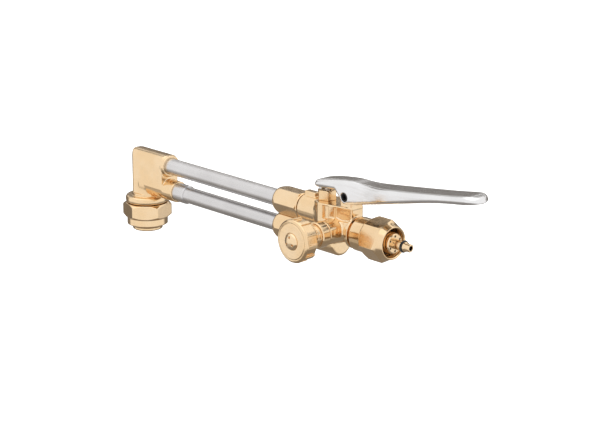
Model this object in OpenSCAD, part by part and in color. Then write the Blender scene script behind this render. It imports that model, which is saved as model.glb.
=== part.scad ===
// Cutting attachment that screws on to an oxy-fuel torch handle.
// +X runs back into the torch handle, -Y is the valve knob's side, +Z is the lever's side.
// The origin is on the coupling axis, in the plane of the coupling nut's rear face.

/* [Gas tubes] */
// Outside diameter of both gas tubes
tube_od = 9.525; // [8.6:0.025:9.8]
// Wall of both gas tubes
tube_wall = 0.9; // [0.6:0.1:1.4]
// Height of the upper tube's axis above the coupling axis
upper_tube_z = 6.36; // [5.9:0.02:8]
// Depth of the lower tube's axis below the coupling axis
lower_tube_drop = 8.05; // [7.8:0.05:10]
// Bare length of the upper tube, from the head's rim to its nut
tube_run = 96.1; // [40:0.2:600]

/* [Head] */
// Width of the head across its flat sides
head_w = 12.7; // [11.6:0.1:16]
// Radius of the head's round front, about the tip axis
head_nose_r = 8.6; // [8.2:0.1:9.5]
// Distance from the tip axis back to the head's rear face
head_back = 22; // [18:0.5:30]
// Height of the head's top above the upper tube's axis
head_top = 6.4; // [6:0.1:9]
// Radius along the head's upper edges
head_round = 5.5; // [1:0.25:5.75]
// Radius of the rim around the upper tube
rim_r = 6.3; // [5.8:0.1:7]
// Length of the rim around the upper tube
rim_len = 1.7; // [1:0.1:4]
// Radius of the boss around the lower tube
head_boss_r = 6.3; // [5.7:0.1:7]
// Length of the boss behind the head's rear face
head_boss_len = 8.5; // [6:0.5:20]
// Radius of the round collar above the tip nut
collar_r = 12.9; // [11.2:0.1:13.4]
// Height of the round collar
collar_h = 4.3; // [4:0.1:8]
// Radius of the thread that carries the tip nut
head_thread_r = 10.2; // [9.8:0.1:10.6]
// Length of that thread
head_thread_len = 8; // [6:0.25:8.25]

/* [Ferrule] */
// Outside radius of the ferrule behind the head's boss
ferrule_r = 5.5; // [5.3:0.1:6.2]
// Length of the ferrule
ferrule_len = 9.3; // [3:0.1:14]

/* [Tip nut] */
// Width of the tip nut across its flats
tip_nut_af = 25.8; // [24.8:0.1:30]
// Height of the tip nut's hexagon
tip_hex_h = 8.7; // [8.5:0.1:12]
// Radius of the round tier under the hexagon
tip_tier_r = 12.2; // [11:0.1:12.2]
// Height of the round tier
tip_tier_h = 5.2; // [3:0.1:7]
// Radius of the lip around the tip bore
tip_lip_r = 9; // [8.6:0.1:10]
// Height of the lip
tip_lip_h = 2.6; // [1.5:0.1:5]
// Radius of the bore that the cutting tip passes through
tip_bore_r = 7.4; // [6:0.1:7.6]
// Turn of the tip nut about its axis, in degrees
tip_nut_turn = 45; // [0:1:59]

/* [Tube nuts] */
// Width of the tube nuts across their flats
tube_nut_af = 14.3; // [13:0.1:16]
// Length of each tube nut outside its barrel
tube_nut_len = 20.5; // [14:0.1:26]
// Length of each tube nut's thread inside its barrel
tube_nut_thread = 6.5; // [5:0.25:7]
// Length of the domed front of each tube nut
tube_nut_dome = 8; // [3:0.5:9]
// Turn of the tube nuts about their axes, in degrees
tube_nut_turn = 30; // [0:1:59]
// Gap between each tube nut and its barrel
tube_nut_gap = 0.7; // [0.5:0.1:2]
// Outside radius of the olive brazed to each tube's end
olive_r = 5.3; // [5.2:0.05:5.5]
// Length of each olive
olive_len = 2.6; // [2:0.1:3.5]

/* [Valve body] */
// Radius of the upper barrel
upper_barrel_r = 7.3; // [6.9:0.1:7.6]
// Radius of the lower barrel
lower_barrel_r = 7.55; // [7.3:0.05:8]
// Radius of the thread in each barrel
barrel_thread_r = 5.6; // [5.6:0.05:5.8]
// Length of the barrels in front of the valve block
barrel_len = 14.5; // [13.5:0.5:24]
// Length of the lower barrel behind the block's front face
lower_barrel_tail = 14; // [13:0.5:18]
// Length of the valve block
block_len = 25.5; // [25:0.5:34]
// Width of the valve block at its widest
block_w = 17.6; // [16:0.2:20]
// Width of the valve block at its rear face
block_rear_w = 8.8; // [8.8:0.2:12]
// Height of the block's top above the upper tube's axis
block_rise = 7.5; // [7.4:0.1:9]
// Depth of the two pockets in each side of the block
pocket_depth = 1.5; // [0.5:0.1:1.6]
// Radius of the neck that carries the coupling nut
neck_r = 6.9; // [6.8:0.05:7.1]
// Radius of the flange on the neck
flange_r = 8.8; // [7.4:0.1:9.3]
// Thickness of the flange on the neck
flange_t = 2; // [1.5:0.1:4]
// Radius of the oxygen passage along the neck
oxygen_r = 1.8; // [1.2:0.1:2]
// Radius of the fuel passage beside it
fuel_r = 1.1; // [0.6:0.1:1.1]

/* [Coupling nut] */
// Length of the coupling nut
nut_len = 25.5; // [23:0.5:32]
// Width of the coupling nut across its flats
nut_af = 20.6; // [19:0.1:24]
// Length of the coupling nut's hexagon
nut_hex_len = 13.5; // [8:0.5:15]
// Radius of the coupling nut's round front
nut_front_r = 9.3; // [9.1:0.1:9.4]
// Radius of the coupling nut's rear collar
nut_collar_r = 10; // [9:0.1:10.2]
// Radius of the thread bore for the torch handle
nut_bore_r = 7.7; // [7.4:0.05:7.9]
// Distance that the coupling nut slides forward when it is loose
nut_float = 0.9; // [0.2:0.1:1]
// Gap between the coupling nut and the neck's flange
nut_gap = 1.3; // [1.3:0.1:6]
// Turn of the coupling nut about its axis, in degrees
nut_turn = 41; // [0:1:59]

/* [Cone end] */
// Distance that the cone's rear face stands out of the nut
cone_proud = 1; // [0:0.1:2]
// Radius of the cone's rear face
cone_face_r = 5.4; // [5.2:0.1:5.8]
// Radius of the cone end where it meets the neck
cone_root_r = 6.9; // [6.5:0.1:7.1]
// Length of the cone end behind the neck
cone_len = 11; // [9:0.5:14]
// Length of the cone end's shank inside the neck
cone_shank_len = 5; // [3:0.5:6]
// Number of fuel holes in the cone's face
fuel_holes = 6; // [3:1:8]
// Radius of each fuel hole
fuel_hole_r = 0.55; // [0.3:0.05:0.7]

/* [Nipple] */
// Length of the nipple beyond the cone's face
nipple_len = 11.4; // [9:0.2:16]
// Radius of the nipple's body
nipple_r = 2.7; // [2.5:0.1:3]
// Radius of the nipple's tip
nipple_tip_r = 2.2; // [2:0.1:2.4]
// Length of the nipple's tip
nipple_tip_len = 3; // [2:0.2:5]
// Radius of the bore through the nipple
nipple_bore_r = 1.3; // [0.8:0.1:1.4]
// Thickness of the O-ring cords
oring_cord = 1.5; // [1.4:0.01:1.9]

/* [Cutting valve] */
// Distance from the block's front face back to the cutting valve's axis
stem_back = 2; // [1.5:0.1:3]
// Width of the bonnet across its flats
bonnet_af = 9.5; // [9.2:0.1:11]
// Height of the bonnet's hexagon
bonnet_h = 5.6; // [4:0.1:5.7]
// Turn of the bonnet about its axis, in degrees
bonnet_turn = 23; // [0:1:59]
// Radius of the bonnet's thread
bonnet_thread_r = 4.4; // [4.2:0.05:4.5]
// Radius of the cutting stem
stem_r = 1.5; // [1.3:0.05:1.6]
// Radius of the cutting stem's head
stem_head_r = 2.8; // [2.7:0.1:2.9]
// Wire of the cutting spring
spring_wire = 0.7; // [0.5:0.05:0.8]
// Number of turns of the cutting spring
spring_turns = 4; // [3:0.5:5]

/* [Cutting lever] */
// Distance from the block's rear face forward to the lever's pin
pin_ahead = 4.5; // [4.4:0.1:6]
// Height of the lever's pin above the top of the block
pin_rise = 5.6; // [5.4:0.1:7]
// Radius of the lever's pin
pin_r = 2.38; // [2:0.02:2.6]
// Width of the lug that carries the lever's pin
lug_w = 8.4; // [7.6:0.1:8.8]
// Thickness of the lever's sheet
lever_t = 1.3; // [1:0.1:1.6]
// Length of the lever from its pin back to its end
lever_reach = 95.5; // [80:0.5:140]
// Length of the lever from the cutting stem's axis forward to its nose
lever_nose = 5.4; // [5:0.1:8]
// Width of the lever at the hand
lever_hand_w = 16; // [13:0.5:22]
// Slope of the lever at rest, in degrees
lever_slope = 6.6; // [6:0.1:9]
// Angle that the lever swings through, in degrees
lever_swing = 8; // [4:0.5:8]

/* [Preheat valve] */
// Distance from the block's rear face forward to the preheat valve's axis
knob_ahead = 11; // [10.5:0.1:12]
// Radius of the boss for the preheat valve
valve_boss_r = 6.6; // [6.4:0.1:7]
// Distance from the coupling axis out to the end of that boss
valve_boss_out = 15; // [13:0.5:16]
// Radius of the packing nut
packing_nut_r = 7.2; // [5.8:0.1:8]
// Length of the packing nut
packing_nut_len = 11.1; // [9:0.1:14]
// Radius of the needle's stem
needle_r = 2; // [1.8:0.05:2.2]
// Lead of the needle's thread
needle_lead = 1.058; // [0.8:0.001:1.3]
// Turns from closed to fully open
needle_turns = 2; // [1:0.25:2]

/* [Knob] */
// Radius of the knob
knob_r = 11.9; // [9:0.1:14]
// Thickness of the knob
knob_len = 10; // [8:0.5:14]
// Gap between the knob and the packing nut
knob_gap = 1; // [0.6:0.1:3]
// Number of flutes round the knob
knob_flutes = 10; // [6:1:10]
// Width of each flute
flute_w = 4.8; // [2.5:0.1:4.8]
// Turn of the first flute above the +X side, in degrees
knob_turn = 11; // [0:1:35]
// Depth of each flute
flute_depth = 1.6; // [0.5:0.1:2]

/* [Hidden] */
$fn = 64;
// Radial clearance of a turning or sliding fit, and the gap at faces that move past each other
fit = 0.05;
gap = 0.3;
// Overrun of a cut past the face that it opens
over = 1;
// Amount by which a hexagon's chamfers run past its corners
hex_clear = 0.3;

tube_r = tube_od / 2;
lower_tube_z = -lower_tube_drop;

// Stations along X, from the coupling forward to the head.
neck_overlap = 1.3;
flange_x = -nut_len - nut_gap;
block_x1 = flange_x - flange_t + neck_overlap;
block_x0 = block_x1 - block_len;
barrel_x0 = block_x0 - barrel_len;
tube_nut_x1 = barrel_x0 - tube_nut_gap;
tube_nut_x0 = tube_nut_x1 - tube_nut_len;
rim_x = tube_nut_x0 - tube_run;
head_x1 = rim_x - rim_len;
tip_x = head_x1 - head_back;
head_boss_x = head_x1 + head_boss_len;
tube_grip = 8;
// Distance from an olive's rear face forward to the tube's end
tube_inset = 0.8;

// The valve block.
block_z1 = upper_tube_z + block_rise;
block_z0 = -2;
web_w = 10;
stem_x = block_x0 + stem_back;
pin_x = block_x1 - pin_ahead;
pin_z = block_z1 + pin_rise;
knob_x = block_x1 - knob_ahead;
lower_barrel_x1 = block_x0 + lower_barrel_tail;
lug_r = 4.3;
pad_w = 4;
pad_len = 8.5;
pad_rise = 2.2;
// The front pocket's two ends and the rear pocket's front end, behind the block's front face.
pocket_x = [7.1, 10.9, 14.7];
pocket_rim = 0.9;

// Inside the upper barrel.
olive_x1 = barrel_x0 + tube_nut_thread + olive_len;
cut_passage_r = 2;
seat_z = oxygen_r + 1.2;
chamber_r = 3.7;
chamber_z1 = upper_tube_z + cut_passage_r;
seat_hole_r = 1.4;

// The cutting stem and its spring.
poppet_r = 3.1;
poppet_h = 1.4;
disc_t = 1.2;
disc_r = 2.7;
poppet_z = seat_z + disc_t;
spring_z0 = poppet_z + poppet_h;
bonnet_z1 = block_z1 + bonnet_h;
bonnet_z0 = chamber_z1;
spring_z1 = block_z1 - 1.2;
spring_pocket_r = 3.4;
spring_r = 2.6;
stem_oring_r = 0.5;
stem_oring_z = block_z1 + 1.6;

// Inside the lower barrel.
mixer_r = 5.2;
mixer_x0 = olive_x1;
mixer_x1 = block_x0 + 9;
oxygen_chamber_r = 4.2;
oxygen_chamber_x1 = knob_x - 0.9;
fuel_y = 3.4;
fuel_z = -3;

// The neck, the cone end and the nipple.
neck_x1 = cone_proud - cone_len;
cone_shank_r = 5.6;
shank_x0 = neck_x1 - cone_shank_len;
gallery_x0 = shank_x0 - 1.5;
nipple_root_r = 2.3;
nipple_x0 = gallery_x0 - 4;
nipple_x1 = cone_proud + nipple_len;
fuel_circle_r = 4;
oring_r = oring_cord / 2;
groove_w = oring_cord + 0.3;
nipple_groove_r = nipple_r - 0.9;
nipple_oring_x = nipple_x1 - nipple_tip_len - 2;
cone_oring_x = neck_x1 + cone_len * 0.45;
cone_oring_major = cone_root_r - 1.7;

// The coupling nut and the ring that holds it.
ring_t = 1.2;
ring_in_r = 6.35;
ring_out_r = nut_bore_r + 0.4;
ring_x1 = gallery_x0 - 0.6;
ring_x0 = ring_x1 - ring_t;
ring_slot = 3;
relief_r = 6.15;
nut_x0 = -nut_len;
nut_collar_len = 3.5;
nut_hex_x0 = -nut_hex_len - nut_collar_len;
nut_lip_x1 = ring_x0 - 1;

// The preheat valve, measured outwards from the coupling axis along -Y.
needle_seat = oxygen_r + 1;
needle_hole_r = 0.9;
// The port from the oxygen room up to the needle's room
port_r = 0.8;
port_x = knob_x - 1.7;
needle_room_r = 2.6;
needle_travel = needle_lead * needle_turns;
packing_in = valve_boss_out - 3;
packing_len = 1.8;
packing_r = 3.6;
packing_nut_thread_r = 4.6;
packing_nut_gap = 0.4;
packing_nut_out = valve_boss_out + packing_nut_gap + packing_nut_len;
knob_in = packing_nut_out + knob_gap;
knob_out = knob_in + knob_len;
needle_out = knob_out - 2.5;
knob_cap_r = 4.6;
knob_cap_h = 2;

// Points of an arc, from angle a0 to angle a1.
function arc(c, r, a0, a1, n = 8) =
    [for (i = [0:n]) let (a = a0 + (a1 - a0) * i / n) [c[0] + r * cos(a), c[1] + r * sin(a)]];

// A smooth curve through points: each stretch takes its slopes from the points beside it.
function ease(a, b, c, d, t) =
    0.5 * ((2 * b) + (c - a) * t + (2 * a - 5 * b + 4 * c - d) * t * t + (3 * b - a - 3 * c + d) * t * t * t);
function smooth(p, n = 5) =
    let (last = len(p) - 1)
    [for (i = [0:last - 1]) for (k = [0:n - 1])
        ease(p[max(i - 1, 0)], p[i], p[i + 1], p[min(i + 2, last)], k / n), p[last]];

// A rod along X, Z, or outwards along -Y.
module rod_x(r, x0, x1, y = 0, z = 0) {
    translate([x0, y, z])
        rotate([0, 90, 0])
            cylinder(r = r, h = x1 - x0);
}

module rod_z(r, z0, z1, x = 0, y = 0) {
    translate([x, y, z0])
        cylinder(r = r, h = z1 - z0);
}

module rod_out(r, d0, d1, x = 0, z = 0) {
    translate([x, -d0, z])
        rotate([90, 0, 0])
            cylinder(r = r, h = d1 - d0);
}

// Solids turned about X, Z, or the outward axis, from points [station, radius].
module turned_x(points, z = 0) {
    translate([0, 0, z])
        rotate([0, 90, 0])
            rotate_extrude()
                polygon([for (p = points) [p[1], p[0]]]);
}

module turned_z(points, x = 0) {
    translate([x, 0, 0])
        rotate_extrude()
            polygon([for (p = points) [p[1], p[0]]]);
}

module turned_out(points, x = 0, z = 0) {
    translate([x, 0, z])
        rotate([90, 0, 0])
            rotate_extrude()
                polygon([for (p = points) [p[1], p[0]]]);
}

// A hexagonal bar standing on the XY plane, with width af across its flats.
module hex_bar(af, h) {
    cylinder(r = af / sqrt(3), h = h, $fn = 6);
}

// A box from one corner to the opposite one.
module box(low, high) {
    translate(low)
        cube(high - low);
}

// A round ring of cord, in the plane across Z.
module cord_ring(major, minor) {
    rotate_extrude()
        translate([major, 0])
            circle(r = minor, $fn = 32);
}

// ---- Head ----

module head_block() {
    intersection() {
        union() {
            rod_z(head_nose_r, head_collar_z1 - over, upper_tube_z + head_top, tip_x);
            box([tip_x, -head_w / 2, lower_tube_z], [head_x1, head_w / 2, upper_tube_z + head_top]);
        }
        translate([tip_x - head_nose_r - over, 0, 0])
            rotate([90, 0, 90])
                linear_extrude(head_back + head_nose_r + 2 * over)
                    head_section();
    }
}

// The head's section across X: flat sides and a rounded top.
module head_section() {
    top = upper_tube_z + head_top;
    half = head_w / 2;
    polygon(concat(
        [[-half, head_collar_z1 - over], [half, head_collar_z1 - over]],
        arc([half - head_round, top - head_round], head_round, 0, 90),
        arc([head_round - half, top - head_round], head_round, 90, 180)
    ));
}

// The round part of the head below the block: collar and thread.
boss_clear = 0.85;
head_collar_z1 = lower_tube_z - head_boss_r - boss_clear;
head_collar_z0 = head_collar_z1 - collar_h;
head_thread_z0 = head_collar_z0 - head_thread_len;
// The collar's rounded bead, which takes up nearly all its height.
collar_step = 1;
bead_half = collar_h / 2 - 0.15;
bead_z = head_collar_z1 - collar_h / 2;
tip_seat_r = 7.6;
// The preheat gas passage along the head, and the drop from it to the seat.
preheat_r = 1.3;
preheat_drop_r = 1.1;
preheat_drop_x = tip_x + 5;

module torch_head() color("goldenrod") {
    difference() {
        union() {
            head_block();
            rod_x(rim_r, head_x1 - over, rim_x, 0, upper_tube_z);
            rod_x(head_boss_r, tip_x, head_boss_x, 0, lower_tube_z);
            turned_z([
                [head_thread_z0, 0],
                [head_thread_z0, head_thread_r - 0.6],
                [head_thread_z0 + 0.6, head_thread_r],
                [head_collar_z0, head_thread_r],
                [head_collar_z0, collar_r - collar_step],
                [bead_z - bead_half, collar_r - collar_step],
                for (a = [-80:20:80]) [bead_z + bead_half * sin(a), collar_r - collar_step * (1 - cos(a))],
                [head_collar_z1, collar_r - collar_step],
                [head_collar_z1, head_nose_r],
                [head_collar_z1 + 1, head_nose_r],
                [head_collar_z1 + 1, 0]
            ], tip_x);
        }
        // Tube sockets.
        rod_x(tube_r, rim_x - tube_grip, rim_x + over, 0, upper_tube_z);
        rod_x(tube_r, head_boss_x - tube_grip, head_boss_x + over, 0, lower_tube_z);
        // Cutting oxygen runs along the upper passage and down the middle.
        rod_x(cut_passage_r, tip_x, rim_x - tube_grip + over, 0, upper_tube_z);
        rod_z(cut_passage_r, head_thread_z0, upper_tube_z, tip_x);
        // Preheat gas runs along the lower passage and down to the ring in the seat.
        rod_x(preheat_r, preheat_drop_x, head_boss_x, 0, lower_tube_z);
        rod_z(preheat_drop_r, head_thread_z0 + 3, lower_tube_z, preheat_drop_x);
        // The tapered seat for the cutting tip.
        turned_z([
            [head_thread_z0 - over, 0],
            [head_thread_z0 - over, tip_seat_r],
            [head_thread_z0, tip_seat_r],
            [head_thread_z0 + 3.4, tip_seat_r - 2],
            [head_thread_z0 + 3.4, 3.8],
            [head_thread_z0 + 5, 3.2],
            [head_thread_z0 + 5, 0]
        ], tip_x);
    }
}

tip_nut_z1 = head_collar_z0 - gap;
tip_nut_hex_z0 = tip_nut_z1 - tip_hex_h;
tip_nut_tier_z0 = tip_nut_hex_z0 - tip_tier_h;
tip_nut_z0 = tip_nut_tier_z0 - tip_lip_h;

module tip_nut() color("goldenrod") {
    corner_r = tip_nut_af / sqrt(3);
    difference() {
        union() {
            intersection() {
                translate([tip_x, 0, tip_nut_hex_z0])
                    rotate([0, 0, tip_nut_turn])
                        hex_bar(tip_nut_af, tip_hex_h);
                turned_z([
                    [tip_nut_hex_z0, 0],
                    [tip_nut_hex_z0, tip_nut_af / 2],
                    [tip_nut_hex_z0 + 1.5, corner_r + hex_clear],
                    [tip_nut_z1 - 1.5, corner_r + hex_clear],
                    [tip_nut_z1, tip_nut_af / 2 - 0.3],
                    [tip_nut_z1, 0]
                ], tip_x);
            }
            turned_z([
                [tip_nut_z0, 0],
                [tip_nut_z0, tip_lip_r - 0.5],
                [tip_nut_z0 + 0.5, tip_lip_r],
                [tip_nut_tier_z0 - 0.6, tip_lip_r],
                [tip_nut_tier_z0 + 0.8, tip_tier_r],
                [tip_nut_hex_z0 + 1, tip_tier_r],
                [tip_nut_hex_z0 + 1, 0]
            ], tip_x);
        }
        rod_z(head_thread_r + fit, head_thread_z0 - gap, tip_nut_z1 + over, tip_x);
        rod_z(tip_bore_r, tip_nut_z0 - over, tip_nut_z1, tip_x);
    }
}

// ---- Tubes ----

module gas_tube(x0, x1, z) {
    difference() {
        rod_x(tube_r, x0, x1, 0, z);
        rod_x(tube_r - tube_wall, x0 - over, x1 + over, 0, z);
    }
}

module upper_tube() color("silver") gas_tube(rim_x - tube_grip, olive_x1 - tube_inset, upper_tube_z);

module lower_tube() color("silver") gas_tube(head_boss_x - tube_grip, olive_x1 - tube_inset, lower_tube_z);

module tube_ferrule() color("silver") {
    difference() {
        turned_x([
            [head_boss_x, 0],
            [head_boss_x, ferrule_r],
            [head_boss_x + ferrule_len - 0.6, ferrule_r],
            [head_boss_x + ferrule_len, ferrule_r - 0.6],
            [head_boss_x + ferrule_len, 0]
        ], lower_tube_z);
        rod_x(tube_r, head_boss_x - over, head_boss_x + ferrule_len + over, 0, lower_tube_z);
    }
}

// The olive is brazed to the tube's end, and its rear cone seals in the barrel.
module olive(z) {
    x0 = olive_x1 - olive_len;
    difference() {
        turned_x([
            [x0, 0],
            [x0, olive_r],
            [olive_x1 - 1.4, olive_r],
            [olive_x1, tube_r - 0.3],
            [olive_x1, 0]
        ], z);
        rod_x(tube_r, x0 - over, olive_x1 - tube_inset, 0, z);
        rod_x(tube_r - tube_wall, x0, olive_x1 + over, 0, z);
    }
}

module upper_olive() color("goldenrod") olive(upper_tube_z);

module lower_olive() color("goldenrod") olive(lower_tube_z);

module tube_nut(z) {
    corner_r = tube_nut_af / sqrt(3);
    shank_x1 = olive_x1 - olive_len;
    shoulder = 1.4;
    shoulder_inset = 0.1;
    difference() {
        union() {
            intersection() {
                translate([tube_nut_x0, 0, z])
                    rotate([0, 90, 0])
                        rotate([0, 0, tube_nut_turn])
                            hex_bar(tube_nut_af, tube_nut_len - shoulder / 2);
                turned_x(concat(
                    [[tube_nut_x0, 0], [tube_nut_x0, tube_r + 0.8]],
                    [for (i = [1:6]) let (a = 90 * i / 6)
                        [tube_nut_x0 + tube_nut_dome * (1 - cos(a)),
                         tube_r + 0.8 + (corner_r + hex_clear - tube_r - 0.8) * sin(a)]],
                    [[tube_nut_x1, corner_r + hex_clear], [tube_nut_x1, 0]]
                ), z);
            }
            rod_x(tube_nut_af / 2 - shoulder_inset, tube_nut_x1 - shoulder, tube_nut_x1, 0, z);
            rod_x(barrel_thread_r - 0.5, tube_nut_x1 - over, barrel_x0 + over, 0, z);
            rod_x(barrel_thread_r, barrel_x0 + over, shank_x1, 0, z);
        }
        rod_x(tube_r + fit, tube_nut_x0 - over, shank_x1 + over, 0, z);
    }
}

module upper_tube_nut() color("goldenrod") tube_nut(upper_tube_z);

module lower_tube_nut() color("goldenrod") tube_nut(lower_tube_z);

// ---- Valve body ----

// The block's outline from above: widest near the front, narrow at the rear.
module block_plan() {
    half = block_w / 2;
    rear = block_rear_w / 2;
    wide_x = block_x0 + 4;
    polygon([
        [block_x0 - 1, upper_barrel_r - 0.6],
        [block_x0 - 1, 0.6 - upper_barrel_r],
        [wide_x, -half],
        [wide_x + 4, 0.3 - half],
        [block_x1, -rear],
        [block_x1, rear],
        [wide_x + 4, half - 0.3],
        [wide_x, half]
    ]);
}

// One pocket in the block's side, between two stations, cut square to the side face.
module side_pocket(x0, x1, side) {
    rear = block_rear_w / 2;
    wide_x = block_x0 + 8;
    slope = atan2(block_w / 2 - 0.3 - rear, block_x1 - wide_x);
    low = neck_r - 1.4;
    high = block_z1 - pocket_rim;
    mirror([0, side < 0 ? 1 : 0, 0])
        translate([block_x1, -rear, 0])
            rotate([0, 0, slope])
                translate([x0 - block_x1, -over, low])
                    cube([x1 - x0, over + pocket_depth, high - low]);
}

module body_outside() {
    // Barrels for the tube nuts, with the web that joins them.
    turned_x([
        [barrel_x0, 0],
        [barrel_x0, upper_barrel_r - 0.7],
        [barrel_x0 + 0.7, upper_barrel_r],
        [block_x0 + 2, upper_barrel_r],
        [block_x0 + 2, 0]
    ], upper_tube_z);
    turned_x([
        [barrel_x0, 0],
        [barrel_x0, lower_barrel_r - 0.7],
        [barrel_x0 + 0.7, lower_barrel_r],
        [lower_barrel_x1 - 1.5, lower_barrel_r],
        [lower_barrel_x1, lower_barrel_r - 1.5],
        [lower_barrel_x1, 0]
    ], lower_tube_z);
    box([barrel_x0 + 2, -web_w / 2, lower_tube_z], [lower_barrel_x1 - 2, web_w / 2, upper_tube_z]);
    box([barrel_x0 + 0.7, -pad_w / 2, upper_tube_z],
        [barrel_x0 + 0.7 + pad_len, pad_w / 2, upper_tube_z + upper_barrel_r + pad_rise]);
    // The block and the lug for the lever's pin.
    translate([0, 0, block_z0])
        linear_extrude(block_z1 - block_z0)
            block_plan();
    box([pin_x - lug_r, -lug_w / 2, block_z1 - over], [pin_x + lug_r, lug_w / 2, pin_z]);
    rod_out(lug_r, -lug_w / 2, lug_w / 2, pin_x, pin_z);
    // The neck, its flange, and the boss for the preheat valve.
    rod_x(neck_r, stem_x + 6, neck_x1);
    rod_x(flange_r, flange_x - flange_t, flange_x);
    rod_out(valve_boss_r, 0, valve_boss_out, knob_x);
}

module valve_body() color("goldenrod") {
    difference() {
        body_outside();
        for (side = [1, -1]) {
            side_pocket(block_x0 + pocket_x[0], block_x0 + pocket_x[1], side);
            side_pocket(block_x0 + pocket_x[2], block_x1 - pocket_rim, side);
        }
        // Upper barrel: tube nut thread, olive seat, and the passage to the cutting valve.
        rod_x(barrel_thread_r, barrel_x0 - over, olive_x1 - olive_len, 0, upper_tube_z);
        rod_x(olive_r, olive_x1 - olive_len - over, olive_x1, 0, upper_tube_z);
        rod_x(cut_passage_r, olive_x1 - over, stem_x, 0, upper_tube_z);
        // Cutting valve chamber, and its seat over the oxygen passage.
        rod_z(bonnet_thread_r, chamber_z1, block_z1 + over, stem_x);
        rod_z(chamber_r, seat_z, chamber_z1 + over, stem_x);
        rod_z(seat_hole_r, 0, seat_z + over, stem_x);
        rod_x(oxygen_r, stem_x, nipple_x0 + over);
        // Lower barrel: tube nut thread, mixer bore, and the oxygen room behind the mixer.
        rod_x(barrel_thread_r, barrel_x0 - over, olive_x1 - olive_len, 0, lower_tube_z);
        rod_x(olive_r, olive_x1 - olive_len - over, olive_x1, 0, lower_tube_z);
        rod_x(mixer_r, olive_x1 - over, mixer_x1, 0, lower_tube_z);
        rod_x(oxygen_chamber_r, mixer_x1 - over, oxygen_chamber_x1, 0, lower_tube_z);
        // Fuel passage from the gallery to the room around the mixer.
        rod_x(fuel_r, mixer_x0 + 7, gallery_x0 + over, fuel_y, fuel_z);
        // Preheat valve: seat hole, room for the needle, packing room and thread.
        rod_out(needle_hole_r, 0, needle_seat + over, knob_x);
        rod_out(needle_room_r, needle_seat, valve_boss_out, knob_x);
        rod_out(packing_nut_thread_r, packing_in, valve_boss_out + over, knob_x);
        rod_z(port_r, lower_tube_z, 0, port_x, -needle_seat - 1);
        // Socket for the cone end, gallery, and the nipple's root.
        rod_x(cone_shank_r, gallery_x0, neck_x1 + over);
        rod_x(nipple_root_r, nipple_x0, gallery_x0 + over);
        // Relief that the coupling nut's ring floats in.
        difference() {
            rod_x(neck_r + over, ring_x0 - nut_float - fit, ring_x1 + fit);
            rod_x(relief_r, ring_x0 - nut_float - over, ring_x1 + over);
        }
        // Hole for the lever's pin.
        rod_out(pin_r, -block_w, block_w, pin_x, pin_z);
    }
}

module mixer() color("goldenrod") {
    waist = 3.6;
    land = 3;
    jet_r = 0.6;
    throat_r = 1.6;
    difference() {
        turned_x([
            [mixer_x0, 0],
            [mixer_x0, mixer_r],
            [mixer_x0 + land, mixer_r],
            [mixer_x0 + land + 1.2, waist],
            [mixer_x1 - land - 1.2, waist],
            [mixer_x1 - land, mixer_r],
            [mixer_x1, mixer_r],
            [mixer_x1, 0]
        ], lower_tube_z);
        rod_x(jet_r, mixer_x0 - over, mixer_x1 + over, 0, lower_tube_z);
        rod_x(throat_r, mixer_x0 - over, mixer_x1 - 6, 0, lower_tube_z);
        for (k = [0:3])
            translate([mixer_x1 - 7.5, 0, lower_tube_z])
                rotate([90 * k + 45, 0, 0])
                    cylinder(r = jet_r, h = mixer_r);
    }
}

// ---- Cutting valve ----

module valve_bonnet() color("goldenrod") {
    corner_r = bonnet_af / sqrt(3);
    difference() {
        union() {
            intersection() {
                translate([stem_x, 0, block_z1])
                    rotate([0, 0, bonnet_turn])
                        hex_bar(bonnet_af, bonnet_h);
                turned_z([
                    [block_z1, 0],
                    [block_z1, corner_r + hex_clear],
                    [bonnet_z1 - 1, corner_r + hex_clear],
                    [bonnet_z1, bonnet_af / 2 - 0.1],
                    [bonnet_z1, 0]
                ], stem_x);
            }
            rod_z(bonnet_thread_r, bonnet_z0, block_z1 + over, stem_x);
        }
        rod_z(stem_r + fit, bonnet_z0 - over, bonnet_z1 + over, stem_x);
        rod_z(spring_pocket_r, bonnet_z0 - over, spring_z1, stem_x);
        rod_z(stem_r + fit + 2 * stem_oring_r, stem_oring_z - 0.7, stem_oring_z + 0.7, stem_x);
    }
}

// The stem's head stays above the lever's two lifting studs.
stud_r = 1.2;
stud_z = bonnet_z1 + 0.5 + stud_r;
stem_head_z = stud_z + stud_r + 0.15;
stem_head_h = 1;

module cutting_stem() color("silver") {
    turned_z([
        [poppet_z, 0],
        [poppet_z, poppet_r - 0.3],
        [poppet_z + 0.3, poppet_r],
        [spring_z0, poppet_r],
        [spring_z0, stem_r],
        [stem_head_z, stem_r],
        [stem_head_z, stem_head_r],
        [stem_head_z + stem_head_h - 0.4, stem_head_r],
        [stem_head_z + stem_head_h, stem_head_r - 0.4],
        [stem_head_z + stem_head_h, 0]
    ], stem_x);
}

module seat_disc() color("dimgray") rod_z(disc_r, seat_z, poppet_z, stem_x);

module stem_oring() color("black") {
    translate([stem_x, 0, stem_oring_z])
        cord_ring(stem_r + fit + stem_oring_r, stem_oring_r - fit / 2);
}

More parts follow.
